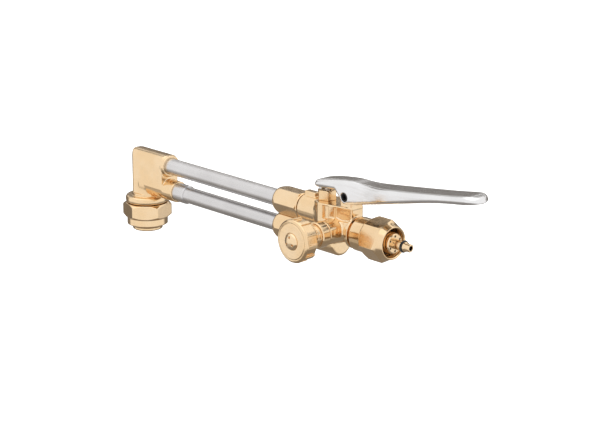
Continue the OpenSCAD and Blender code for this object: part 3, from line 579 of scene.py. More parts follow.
@dataclass(frozen=True)
class Brass(Finish):
    """Polished brass, forged or turned."""

    grain: Grain = Grain.FORGED
    centre: tuple[float, float] = (0.0, 0.0)
    pale: Colour = (0.90, 0.69, 0.45, 1.0)
    deep: Colour = (0.86, 0.625, 0.37, 1.0)
    rough: float = 0.13

    def paint(self, n: Nodes) -> dict:
        """Slow colour changes, polishing haze, and either forged skin or turning rings."""
        at = n.place()
        slow = n.noise(at, 70.0, 3.0)
        haze = n.noise(at, 420.0, 4.0, 0.65)
        scratch = n.noise(n.stretch(at, (260.0, 2600.0, 2600.0)), 1.0, 3.0)
        if self.grain is Grain.FORGED:
            height = n.noise(at, 700.0, 3.0, 0.55) + 0.7 * n.noise(at, 160.0, 2.0)
            deep = 0.00003
        else:
            apart = n.add("ShaderNodeSeparateXYZ", {}, {0: at})
            node = apart.socket.node
            x, y, z = (Value(n, node.outputs[i]) for i in range(3))
            along, first, second = {Grain.TURNED_X: (x, y, z), Grain.TURNED_OUT: (y, x, z),
                                    Grain.TURNED_Z: (z, x, y)}[self.grain]
            u, v = first - self.centre[0], second - self.centre[1]
            out = (u * u + v * v) ** 0.5
            rings = n.add("ShaderNodeCombineXYZ", {}, {0: along * 3400.0, 1: out * 3400.0, 2: 0.0})
            height = n.noise(rings, 1.0, 2.0) + 0.25 * n.noise(at, 300.0, 2.0)
            deep = 0.000012
        colour = n.mix(n.between(slow * 0.75 + haze * 0.25, 0.36, 0.66), self.deep, self.pale)
        rough = n.between(haze * 0.6 + scratch * 0.4, 0.3, 0.7, (self.rough - 0.05, self.rough + 0.1))
        return {"Base Color": colour, "Metallic": 1.0, "Roughness": rough, "Normal": n.bump(height, deep)}


@dataclass(frozen=True)
class Steel(Finish):
    """Bare or plated steel, with a grain that runs along one axis."""

    pale: Colour = (0.74, 0.73, 0.735, 1.0)
    deep: Colour = (0.67, 0.66, 0.665, 1.0)
    rough: float = 0.3
    spread: float = 0.08
    run: tuple[float, float, float] = (40.0, 5200.0, 5200.0)
    deep_by: float = 0.000005

    def paint(self, n: Nodes) -> dict:
        """Fine lines along the grain and a slow change of tone."""
        at = n.place()
        line = n.noise(n.stretch(at, self.run), 1.0, 3.0, 0.6)
        slow = n.noise(at, 55.0, 2.0)
        colour = n.mix(n.between(line * 0.3 + slow * 0.7, 0.3, 0.7), self.deep, self.pale)
        rough = n.between(line, 0.3, 0.7, (self.rough - self.spread, self.rough + self.spread))
        return {"Base Color": colour, "Metallic": 1.0, "Roughness": rough,
                "Normal": n.bump(line, self.deep_by)}


@dataclass(frozen=True)
class Dull(Finish):
    """Rubber, packing and other matt pieces."""

    pale: Colour = (0.03, 0.03, 0.03, 1.0)
    deep: Colour = (0.012, 0.012, 0.013, 1.0)
    rough: float = 0.5
    metal: float = 0.0
    scale: float = 700.0

    def paint(self, n: Nodes) -> dict:
        """A fine mottle in colour, gloss and height."""
        at = n.place()
        fine = n.noise(at, self.scale, 3.0, 0.6)
        colour = n.mix(n.between(fine, 0.35, 0.65), self.deep, self.pale)
        rough = n.between(fine, 0.3, 0.7, (self.rough - 0.08, self.rough + 0.1))
        return {"Base Color": colour, "Metallic": self.metal, "Roughness": rough,
                "Normal": n.bump(fine, 0.00003)}


FORGED = Brass("forged_skin", "brass_forged")
STAINLESS = Steel("stainless_tube", "stainless")
LEVER = Steel("lever_plate", "chrome_lever", (0.86, 0.86, 0.87, 1.0), (0.80, 0.80, 0.81, 1.0), 0.2, 0.06,
              (60.0, 900.0, 900.0), 0.00001)
SPRING = Steel("spring_wire", "spring_steel")
BLACK = Dull("pin_blackened", "black_steel", (0.05, 0.05, 0.052, 1.0), (0.018, 0.018, 0.02, 1.0), 0.35, 0.6)
RUBBER = Dull("oring_rubber", "rubber")
PACKING = Dull("packing_white", "ptfe", (0.85, 0.84, 0.82, 1.0), (0.72, 0.71, 0.69, 1.0), 0.55)


def turned_brass(name: str, grain: Grain, centre: tuple[float, float] = (0.0, 0.0)) -> Brass:
    """Turned brass whose rings run round the axis through a centre in metres."""
    return Brass(name, "brass_turned", grain, centre)


# ---------------------------------------------------------------- pieces


def span(node: str) -> tuple[np.ndarray, np.ndarray]:
    """Lowest and highest corners of a CAD node, in millimetres."""
    low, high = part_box(node)
    return np.array(low) / MM, np.array(high) / MM


def centre(node: str) -> np.ndarray:
    """The middle of a CAD node, in millimetres."""
    low, high = span(node)
    return (low + high) / 2


def make_object(name: str, points: np.ndarray, faces: Sequence, shift: Sequence[float] = (0, 0, 0),
                spin: Optional[Matrix] = None) -> bpy.types.Object:
    """Makes a smooth mesh object.

    Args:
        name: the piece's name.
        points: its points, in millimetres.
        faces: its faces.
        shift: added to every point, in millimetres, after the spin.
        spin: a turn of the points about the origin.

    Returns:
        The object, in the scene.
    """
    data = bpy.data.meshes.new(name)
    places = np.asarray(points, float)
    if spin is not None:
        places = places @ np.array(spin.to_3x3()).T
    places = (places + np.array(shift, float)) * MM
    data.from_pydata(places.tolist(), [], [list(map(int, f)) for f in faces])
    data.polygons.foreach_set("use_smooth", [True] * len(data.polygons))
    data.update()
    thing = bpy.data.objects.new(name, data)
    bpy.context.scene.collection.objects.link(thing)
    return thing


def revolve(axis: Axis, at: Sequence[float], profile: Profile, closed: bool,
            sides: int = 128) -> tuple[np.ndarray, list]:
    """Turns a profile into points and faces.

    Args:
        axis: what it is turned about.
        at: where that axis passes, in millimetres.
        profile: its (station, radius) points.
        closed: whether the profile is a loop; if not, it starts and ends on the axis.
        sides: steps round the axis.

    Returns:
        The points and the faces.
    """
    main, first, second = axis.value
    points, rings = [], []
    for s, r in profile:
        along = -s if axis is Axis.OUT else s
        ring = []
        for k in range(sides if r > 1e-6 else 1):
            a = 2 * math.pi * k / sides
            p = [0.0, 0.0, 0.0]
            p[main], p[first], p[second] = along, at[0] + r * math.cos(a), at[1] + r * math.sin(a)
            ring.append(len(points))
            points.append(p)
        rings.append(ring)
    faces = []
    pairs = list(zip(rings, rings[1:] + ([rings[0]] if closed else [])))
    for one, two in pairs:
        for k in range(sides):
            quad = [one[k % len(one)], one[(k + 1) % len(one)], two[(k + 1) % len(two)], two[k % len(two)]]
            face = [v for i, v in enumerate(quad) if v not in quad[:i]]
            if len(face) > 2:
                faces.append(face)
    return np.array(points), faces


@dataclass
class Assembly:
    """What every sub-assembly does with a finished piece."""

    body: str = "valve_body"
    tube: float = 4.7625

    def place(self, thing: bpy.types.Object, finish: Finish, *nodes: str,
              body: Optional[str] = None) -> bpy.types.Object:
        """Dresses a piece, and lets it stand for its CAD nodes.

        Args:
            thing: the piece.
            finish: its finish.
            nodes: the CAD nodes that it replaces.
            body: the body that it rides on, if not the assembly's own.

        Returns:
            The piece.
        """
        thing.data.materials.clear()
        thing.data.materials.append(finish.material())
        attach(thing, body or self.body)
        if nodes:
            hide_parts(*nodes)
        log.info("%s: %d faces, %s", thing.name, len(thing.data.polygons), finish.name)
        return thing

    def carve(self, name: str, solid: Solid, low: Sequence[float], high: Sequence[float],
              step: float) -> bpy.types.Object:
        """Makes a piece from a solid."""
        return make_object(name, *skin(solid, low, high, step))

    def turn(self, name: str, axis: Axis, at: Sequence[float], profile: Profile, radius: float = 0.25,
             closed: bool = True) -> bpy.types.Object:
        """Makes a turned piece from a profile, with softened corners and even shading on its flats."""
        points, faces = revolve(axis, at, soften(profile, radius, closed), closed)
        thing = make_object(name, points, faces)
        flip(thing)
        even = thing.modifiers.new("even_flats", "WEIGHTED_NORMAL")
        even.keep_sharp = False
        return thing


def flip(thing: bpy.types.Object) -> None:
    """Turns a mesh's faces outwards."""
    work = bmesh.new()
    work.from_mesh(thing.data)
    bmesh.ops.recalc_face_normals(work, faces=work.faces)
    work.to_mesh(thing.data)
    work.free()
    thing.data.polygons.foreach_set("use_smooth", [True] * len(thing.data.polygons))


@dataclass
class Head(Assembly):
    """The forged head and its tip nut."""

    width: float = 12.7
    nose: float = 8.6
    back: float = 22.0
    above: float = 6.4
    top_round: float = 5.5
    rim: float = 6.3
    boss: float = 6.3
    boss_len: float = 8.5
    tube_run: float = 96.1
    collar: float = 12.9
    collar_step: float = 1.0
    thread: float = 10.2
    thread_lead: float = 0.6
    seat: float = 7.6
    seat_deep: float = 3.4
    mouth: float = 3.8
    mouth_deep: float = 5.0
    gas: float = 2.0
    side_gas: float = 1.1
    side_gas_out: float = 5.0
    nut_flats: float = 25.8
    nut_hex: float = 8.7
    nut_tier: float = 12.2
    nut_tier_h: float = 5.2
    nut_lip: float = 9.0
    nut_bore: float = 7.4
    nut_turn: float = 45.0
    nut_chamfer: float = 1.5
    nut_gap: float = 0.3
    collar_gap: float = 0.85

    def build(self) -> None:
        """Builds the head, then the nut."""
        low, high = span("torch_head")
        nut_low, nut_high = span("tip_nut")
        tip_x = centre("tip_nut")[0]
        up_z, down_z = high[2] - self.above, centre("lower_tube")[2]
        rim_x = span("upper_tube_nut")[0][0] - self.tube_run
        face = tip_x + self.back
        top, half = up_z + self.above, self.width / 2
        collar_z0, collar_z1 = nut_high[2] + self.nut_gap, down_z - self.boss - self.collar_gap
        section = prism(Axis.X, soften(
            [(-half, low[2] - 2), (half, low[2] - 2), (half, top), (-half, top)], self.top_round, steps=8))
        column = rod(Axis.Z, (tip_x, 0), self.nose, collar_z1 - 2, top + 3)
        slab = block((tip_x, -20, down_z), (face, 20, top + 3))
        main = column.join(slab).keep(section, 0.7)
        main = main.keep(block((low[0] - 1, -20, collar_z1 - 1), (face, 20, top)), 0.5)
        main = main.join(rod(Axis.X, (0, up_z), self.rim, face - 1, rim_x, 0.45), 0.5)
        main = main.join(rod(Axis.X, (0, down_z), self.boss, tip_x, face + self.boss_len, 0.5), 0.6)
        bead_h = (collar_z1 - collar_z0) / 2 - 0.15
        bead_z = (collar_z1 + collar_z0) / 2
        step_r = self.collar - self.collar_step
        ring = [(collar_z0 - 4, 0), (collar_z0 - 4, self.thread), (collar_z0, self.thread),
                (collar_z0, step_r)]
        ring += [(bead_z + bead_h * math.sin(math.radians(a)),
                  self.collar - self.collar_step * (1 - math.cos(math.radians(a))))
                 for a in range(-80, 81, 10)]
        ring += [(collar_z1, step_r), (collar_z1, self.nose), (collar_z1 + 1.5, self.nose),
                 (collar_z1 + 1.5, 0)]
        main = main.join(lathe(Axis.Z, (tip_x, 0), ring, 0.35), 0.9)
        thread_z0 = low[2]
        main = main.join(lathe(Axis.Z, (tip_x, 0), [
            (thread_z0, 0), (thread_z0, self.thread - self.thread_lead),
            (thread_z0 + self.thread_lead, self.thread),
            (collar_z0 + 1, self.thread), (collar_z0 + 1, 0)], 0.15))
        for z, x0, x1 in ((up_z, rim_x - 8, rim_x + 2), (down_z, face + 0.5, face + self.boss_len + 2)):
            main = main.cut(rod(Axis.X, (0, z), self.tube, x0, x1), 0.15)
        main = main.cut(lathe(Axis.Z, (tip_x, 0), [
            (thread_z0 - 2, 0), (thread_z0 - 2, self.seat), (thread_z0, self.seat),
            (thread_z0 + self.seat_deep, self.seat - 2), (thread_z0 + self.seat_deep, self.mouth),
            (thread_z0 + self.mouth_deep, self.mouth - 0.6), (thread_z0 + self.mouth_deep, self.gas),
            (up_z, self.gas), (up_z, 0)], 0.12), 0.15)
        main = main.cut(rod(Axis.Z, (tip_x + self.side_gas_out, 0), self.side_gas, thread_z0 + 2, down_z))
        piece = self.carve("head_forging", main, low, high, 0.36)
        self.place(piece, FORGED, "torch_head")
        self.build_nut(tip_x, nut_low, nut_high, thread_z0)

    def build_nut(self, tip_x: float, low: np.ndarray, high: np.ndarray, thread_z0: float) -> None:
        """Builds the tip nut.

        Args:
            tip_x: the tip axis.
            low: lowest corner of the nut.
            high: its highest corner.
            thread_z0: where the head's thread ends.
        """
        at = (tip_x, 0)
        z0, z1 = low[2], high[2]
        hex_z0 = z1 - self.nut_hex
        tier_z0 = hex_z0 - self.nut_tier_h
        corner = self.nut_flats / math.sqrt(3)
        chamfer = lathe(Axis.Z, at, [
            (hex_z0, 0), (hex_z0, self.nut_flats / 2), (hex_z0 + self.nut_chamfer, corner + 0.3),
            (z1 - self.nut_chamfer, corner + 0.3), (z1, self.nut_flats / 2 - 0.3), (z1, 0)], 0.3)
        nut = hexagon(Axis.Z, at, self.nut_flats, self.nut_turn, 0.5).keep(chamfer, 0.35)
        nut = nut.join(lathe(Axis.Z, at, [
            (z0, 0), (z0, self.nut_lip - 0.5), (z0 + 0.5, self.nut_lip), (tier_z0 - 0.6, self.nut_lip),
            (tier_z0 + 0.8, self.nut_tier), (hex_z0 + 1, self.nut_tier), (hex_z0 + 1, 0)], 0.4), 0.35)
        nut = nut.cut(lathe(Axis.Z, at, [
            (z0 - 3, 0), (z0 - 3, self.nut_bore), (thread_z0 - 0.3, self.nut_bore),
            (thread_z0 - 0.3, self.thread + 0.05), (z1 + 3, self.thread + 0.05), (z1 + 3, 0)], 0.1), 0.4)
        piece = self.carve("tip_nut_turned", nut, low, high, 0.34)
        finish = turned_brass("brass_turned_tip", Grain.TURNED_Z, (tip_x * MM, 0.0))
        self.place(piece, finish, "tip_nut", body="tip_nut")


@dataclass
class Tubes(Assembly):
    """The two gas tubes, the ferrule and the tube nuts."""

    bore: float = 3.8625
    flats: float = 14.3
    turn_deg: float = 0.0
    dome: float = 8.0
    thread: float = 5.6
    shoulder: float = 1.4
    gap: float = 0.7
    lip: float = 0.8
    ferrule_chamfer: float = 0.6

    def build(self) -> None:
        """Builds both tubes, the ferrule and one nut for each tube."""
        for name in ("upper_tube", "lower_tube"):
            (x0, _, _), (x1, _, _) = span(name)
            z = centre(name)[2]
            loop = [(x0, self.bore), (x0, self.tube), (x1, self.tube), (x1, self.bore)]
            self.place(self.turn(name + "_drawn", Axis.X, (0, z), loop, 0.15), STAINLESS, name)
        (x0, _, z0), (x1, _, z1) = span("tube_ferrule")
        z, r, cut = (z0 + z1) / 2, (z1 - z0) / 2, self.ferrule_chamfer
        loop = [(x0, self.tube), (x0, r), (x1 - cut, r), (x1, r - cut), (x1, self.tube)]
        self.place(self.turn("ferrule_ring", Axis.X, (0, z), loop, 0.25), STAINLESS, "tube_ferrule")
        low, high = span("upper_tube_nut")
        x0, x1 = low[0], span("valve_body")[0][0] - self.gap
        mesh = skin(self.nut(x0, x1, high[0]), (x0, -9, -9), (high[0], 9, 9), 0.26)
        for name in ("upper_tube_nut", "lower_tube_nut"):
            z = centre(name)[2]
            finish = turned_brass("brass_" + name, Grain.TURNED_X, (0.0, z * MM))
            self.place(make_object(name + "_turned", *mesh, shift=(0, 0, z)), finish, name)

    def nut(self, x0: float, x1: float, end: float) -> Solid:
        """One tube nut, about the X axis.

        Args:
            x0: its front.
            x1: the rear face of its head.
            end: the end of its thread.

        Returns:
            The solid.
        """
        corner = self.flats / math.sqrt(3)
        start = self.tube + self.lip
        dome = [(x0, 0.0), (x0, start)]
        dome += [(x0 + self.dome * (1 - math.cos(a)), start + (corner + 0.3 - start) * math.sin(a))
                 for a in (math.radians(7.5 * i) for i in range(1, 13))]
        dome += [(x1 - self.shoulder / 2, corner + 0.3), (x1 - self.shoulder / 2, 0)]
        at = (0, 0)
        nut = hexagon(Axis.X, at, self.flats, self.turn_deg, 0.45)
        nut = nut.keep(lathe(Axis.X, at, dome, 0.25), 0.3)
        nut = nut.join(rod(Axis.X, at, self.flats / 2 - 0.1, x1 - self.shoulder, x1, 0.35), 0.25)
        nut = nut.join(rod(Axis.X, at, self.thread - 0.5, x1 - 1, x1 + 3.5))
        nut = nut.join(rod(Axis.X, at, self.thread - 0.02, x1 + 2.4, end))
        return nut.cut(rod(Axis.X, at, self.tube + 0.05, x0 - 3, end + 3), 0.25)


@dataclass(frozen=True)
class Places:
    """Faces and axes of the valve body, worked out from the frame, in millimetres."""

    front: float
    block: float
    rear: float
    top: float
    up_z: float
    down_z: float
    stem_x: float
    knob_x: float
    pin: tuple[float, float]


@dataclass
class Valve(Assembly):
    """The forged valve body, with the bonnet, stem and lever pin."""

    upper: float = 7.3
    lower: float = 7.55
    thread: float = 5.6
    barrel_len: float = 14.5
    tail: float = 14.0
    block_len: float = 25.5
    block_w: float = 17.6
    rear_w: float = 8.8
    rise: float = 7.5
    pocket: float = 1.5
    neck: float = 6.9
    flange: float = 8.8
    flange_t: float = 2.0
    lug: float = 4.3
    lug_w: float = 8.4
    boss: float = 6.6
    boss_out: float = 15.0
    bonnet_flats: float = 9.5
    bonnet_turn: float = 23.0
    bonnet: float = 4.4
    olive: float = 5.3
    mixer: float = 5.2
    chamber: float = 3.7
    packing: float = 4.6
    needle: float = 2.6
    needle_seat: float = 0.9
    cone: float = 5.6
    gas: float = 2.3
    pin: float = 2.38
    pin_bore: float = 1.58
    flange_rear: float = -26.8
    neck_end: float = -10.0
    ring_groove: tuple[float, float] = (-19.25, -17.05)
    ring_in: float = 6.15

    def build(self) -> None:
        """Builds the forging, then what is screwed and pinned to it."""
        low, high = span("valve_body")
        up_z, down_z = centre("upper_tube")[2], centre("lower_tube")[2]
        start, pin = low[0] + self.barrel_len, centre("lever_pin")
        at = Places(low[0], start, start + self.block_len, up_z + self.rise, up_z, down_z,
                    centre("cutting_stem")[0], centre("packing_nut")[0], (pin[0], pin[2]))
        piece = self.carve("valve_forging", self.bored(self.forging(at), at), low, high, 0.34)
        self.place(piece, FORGED, "valve_body")
        self.build_bonnet(at)
        self.build_stem(at.stem_x)
        self.build_pin(at.pin)

    def forging(self, at: Places) -> Solid:
        """The outside of the valve body."""
        half, rear = self.block_w / 2, self.rear_w / 2
        b0, b1, top, front, pin = at.block, at.rear, at.top, at.front, at.pin
        wide, tail = b0 + 4, b0 + self.tail
        plan = soften([(b0 - 1, self.upper - 0.6), (b0 - 1, 0.6 - self.upper), (wide, -half),
                       (wide + 4, 0.3 - half), (b1, -rear), (b1, rear), (wide + 4, half - 0.3),
                       (wide, half)], 1.0)
        main = prism(Axis.Z, plan).keep(block((b0 - 2, -20, -2), (b1 + 1, 20, top)), 0.55)
        pockets = ((b0 + 7.1, b0 + 10.9), (b0 + 14.7, b1 - 0.9))
        for side, (x0, x1) in product((1, -1), pockets):
            main = main.cut(self.side_pocket(x0, x1, b0, b1, top, side), 0.25)
        upper = rod(Axis.X, (0, at.up_z), self.upper, front, b0 + 2, 0.55)
        lower = rod(Axis.X, (0, at.down_z), self.lower, front, tail, 1.4)
        web = block((front + 2, -5, at.down_z), (tail - 2, 5, at.up_z), 0.5)
        pad = block((front + 0.7, -2, at.up_z), (front + 9.2, 2, at.up_z + self.upper + 2.2), 0.5)
        main = main.join(upper, 0.9).join(lower, 1.2).join(web, 1.0).join(pad, 0.5)
        side = self.lug_w / 2
        lug = block((pin[0] - self.lug, -side, top - 1), (pin[0] + self.lug, side, pin[1]), 0.3)
        lug = lug.join(rod(Axis.OUT, pin, self.lug, -side, side, 0.3))
        main = main.join(lug, 0.5)
        neck = rod(Axis.X, (0, 0), self.neck, b0 + 8, self.neck_end, 0.1)
        flange = rod(Axis.X, (0, 0), self.flange, self.flange_rear - self.flange_t, self.flange_rear, 0.3)
        main = main.join(neck, 1.2).join(flange, 0.5)
        return main.join(rod(Axis.OUT, (at.knob_x, 0), self.boss, 0, self.boss_out, 0.4), 1.1)

    def side_pocket(self, x0: float, x1: float, b0: float, b1: float, top: float, side: int) -> Solid:
        """A pocket in one side of the block, square to its slanting face."""
        rear = self.rear_w / 2
        slope = math.atan2(self.block_w / 2 - 0.3 - rear, b1 - b0 - 8)
        cutter = block((x0 - b1, -1, self.neck - 1.4), (x1 - b1, self.pocket, top - 0.9), 0.35)
        c, s = math.cos(slope), math.sin(slope)

        def distance(p: np.ndarray) -> np.ndarray:
            u, v = p[:, 0] - b1, p[:, 1] * side + rear
            return cutter.distance(np.stack([u * c + v * s, v * c - u * s, p[:, 2]], 1))

        return Solid(distance)

    def bored(self, main: Solid, at: Places) -> Solid:
        """Cuts the rooms that other pieces stand in."""
        tubes = ((self.thread, -3, 6.5, 0.35), (self.olive, 5, 9.1, 0.0))
        bores = [(Axis.X, (0, z), r, at.front + a0, at.front + a1, edge)
                 for z in (at.up_z, at.down_z) for r, a0, a1, edge in tubes]
        stem, knob, main_axis = (at.stem_x, 0), (at.knob_x, 0), (0, 0)
        bores += [
            (Axis.X, (0, at.down_z), self.mixer, at.front + 8, at.block + 9, 0.0),
            (Axis.Z, stem, self.bonnet, at.up_z + 2, at.top + 3, 0.2),
            (Axis.Z, stem, self.chamber, 3.0, at.up_z + 3, 0.0),
            (Axis.OUT, knob, self.packing, self.boss_out - 3, self.boss_out + 3, 0.3),
            (Axis.OUT, knob, self.needle, 2.8, self.boss_out, 0.0),
            (Axis.OUT, knob, self.needle_seat, 0.5, 4, 0.0),
            (Axis.X, main_axis, self.cone, -16.5, -5, 0.2),
            (Axis.X, main_axis, self.gas, -20.5, -14, 0.0)]
        for axis, where, r, a0, a1, edge in bores:
            main = main.cut(rod(axis, where, r, a0, a1), edge)
        groove = rod(Axis.X, main_axis, 9, *self.ring_groove)
        main = main.cut(groove.cut(rod(Axis.X, main_axis, self.ring_in, -22, -14)))
        return main.cut(rod(Axis.OUT, at.pin, self.pin, -20, 20), 0.2)

    def build_bonnet(self, places: Places) -> None:
        """Builds the bonnet of the cutting valve, with the stem's hole through it."""
        low, high = span("valve_bonnet")
        at, top = (places.stem_x, 0), places.top
        corner = self.bonnet_flats / math.sqrt(3)
        chamfer = lathe(Axis.Z, at, [(top, 0), (top, corner + 0.3), (high[2] - 1, corner + 0.3),
                                     (high[2], self.bonnet_flats / 2 - 0.1), (high[2], 0)], 0.15)
        bonnet = hexagon(Axis.Z, at, self.bonnet_flats, self.bonnet_turn, 0.25).keep(chamfer, 0.25)
        bonnet = bonnet.join(rod(Axis.Z, at, self.bonnet - 0.02, low[2], top + 1))
        bonnet = bonnet.cut(rod(Axis.Z, at, 1.55, low[2] - 2, high[2] + 2), 0.2)
        bonnet = bonnet.cut(rod(Axis.Z, at, 3.4, low[2] - 2, top - 1.2))
        piece = self.carve("bonnet_hex", bonnet, low, high, 0.2)
        finish = turned_brass("brass_bonnet", Grain.TURNED_Z, (places.stem_x * MM, 0.0))
        self.place(piece, finish, "valve_bonnet")

    def build_stem(self, stem_x: float) -> None:
        """Builds the cutting stem, from its poppet up to its head."""
        low, high = span("cutting_stem")
        z0, z1 = low[2], high[2]
        stem, head, poppet = 1.5, 2.8, 3.1
        line = [(z0, 0), (z0, poppet - 0.3), (z0 + 0.3, poppet), (z0 + 1.4, poppet), (z0 + 1.4, stem),
                (z1 - 1, stem), (z1 - 1, head), (z1 - 0.4, head), (z1, head - 0.4), (z1, 0)]
        piece = self.turn("stem_turned", Axis.Z, (stem_x, 0), line, 0.12, False)
        self.place(piece, STAINLESS, "cutting_stem", body="cutting_stem")

    def build_pin(self, pin: tuple[float, float]) -> None:
        """Builds the rolled pin of the lever, slit along its top."""
        low, high = span("lever_pin")
        slit = block((pin[0] - 0.3, low[1] - 3, pin[1]), (pin[0] + 0.3, high[1] + 3, pin[1] + 5))
        out = rod(Axis.OUT, pin, self.pin, low[1], high[1], 0.25)
        out = out.cut(rod(Axis.OUT, pin, self.pin_bore, low[1] - 3, high[1] + 3), 0.15).cut(slit, 0.1)
        self.place(self.carve("pin_rolled", out, low, high, 0.15), BLACK, "lever_pin")


@dataclass
class Lever(Assembly):
    """The pressed cutting lever."""

    body: str = "lever"
    sheet: float = 1.3
    reach: float = 95.5
    nose: float = 24.4
    hand_w: float = 16.0
    pin_w: float = 11.6
    slope: float = 6.6
    fold: float = 2.4
    lug: float = 4.3
    hole: float = 2.43
    stud: float = 1.2
    stud_gap: float = 0.15
    stem_head: float = 1.0

    def top(self) -> Profile:
        """The upper edge from the side, nose first."""
        n, r = self.nose, self.reach
        return flowing([(-n, 5.4), (-n + 1.2, 7.2), (-n + 5, 8.4), (-10, 9.3), (4, 9.3), (14, 8.1), (26, 7.3),
                        (0.45 * r, 7.3), (0.75 * r, 7.7), (0.92 * r, 8.2), (r - 3, 7.4), (r - 0.6, 5.6),
                        (r, 4)])

    def bottom(self) -> Profile:
        """The lower edge of the flanges, end first."""
        n, r = self.nose, self.reach
        line = flowing([(r, 3.4), (r - 6, 3.5), (0.72 * r, 2.8), (0.45 * r, 0.2), (22, -2.3), (8, -4)])
        line += arc(0, 0, self.lug + 0.2, -65, -155, 10)
        return line + [(-7.6, 3.1), (-n + 3, 3.6), (-n + 0.6, 3.9)]

    def plan(self, inset: float) -> Profile:
        """The outline from above, made smaller by an inset."""
        half, hand = self.pin_w / 2 - inset, self.hand_w / 2 - inset
        nose, end, r = -self.nose + inset, self.reach - inset, self.reach
        edge = arc(nose + 3.5, half - 3.5, 3.5, 180, 90, 10)
        edge += flowing([(8, half), (16, half + 0.2 * (hand - half)), (30, hand - 0.2), (0.45 * r, hand),
                         (0.75 * r, hand), (end - hand, hand)])
        edge += arc(end - hand, 0, hand, 78, 0, 14)
        return edge + [(x, -y) for x, y in reversed(edge[:-1])]

    def build(self) -> None:
        """Builds the lever level about its pin, and slopes it."""
        pin = centre("lever_pin")[[0, 2]]
        top = self.top()
        side = prism(Axis.OUT, top + self.bottom())
        below = [(self.reach, -20), (-self.nose, -20)]
        hollow = prism(Axis.OUT, [(x, z - self.sheet) for x, z in top] + below)
        outside = side.keep(prism(Axis.Z, self.plan(0)), self.fold)
        inside = hollow.keep(prism(Axis.Z, self.plan(self.sheet)), self.fold - self.sheet)
        lever = outside.cut(inside, 0.35)
        lever = lever.cut(rod(Axis.OUT, (0, 0), self.hole, -20, 20), 0.2)
        along = centre("cutting_stem")[0] - pin[0]
        up = span("cutting_stem")[1][2] - self.stem_head - self.stud_gap - self.stud - pin[1]
        c, s = math.cos(math.radians(self.slope)), math.sin(math.radians(self.slope))
        x, z = along * c + up * s, up * c - along * s
        for a0, a1 in ((1.9, self.pin_w / 2 - 0.65), (0.65 - self.pin_w / 2, -1.9)):
            lever = lever.join(rod(Axis.OUT, (x, z), self.stud, a0, a1), 0.1)
        half = self.hand_w / 2
        mesh = skin(lever, (-self.nose, -half, -4.6), (self.reach, half, 9.5), 0.36)
        piece = make_object("lever_pressing", *mesh, shift=(pin[0], 0, pin[1]),
                            spin=Matrix.Rotation(math.radians(-self.slope), 4, "Y"))
        self.place(piece, LEVER, "lever")


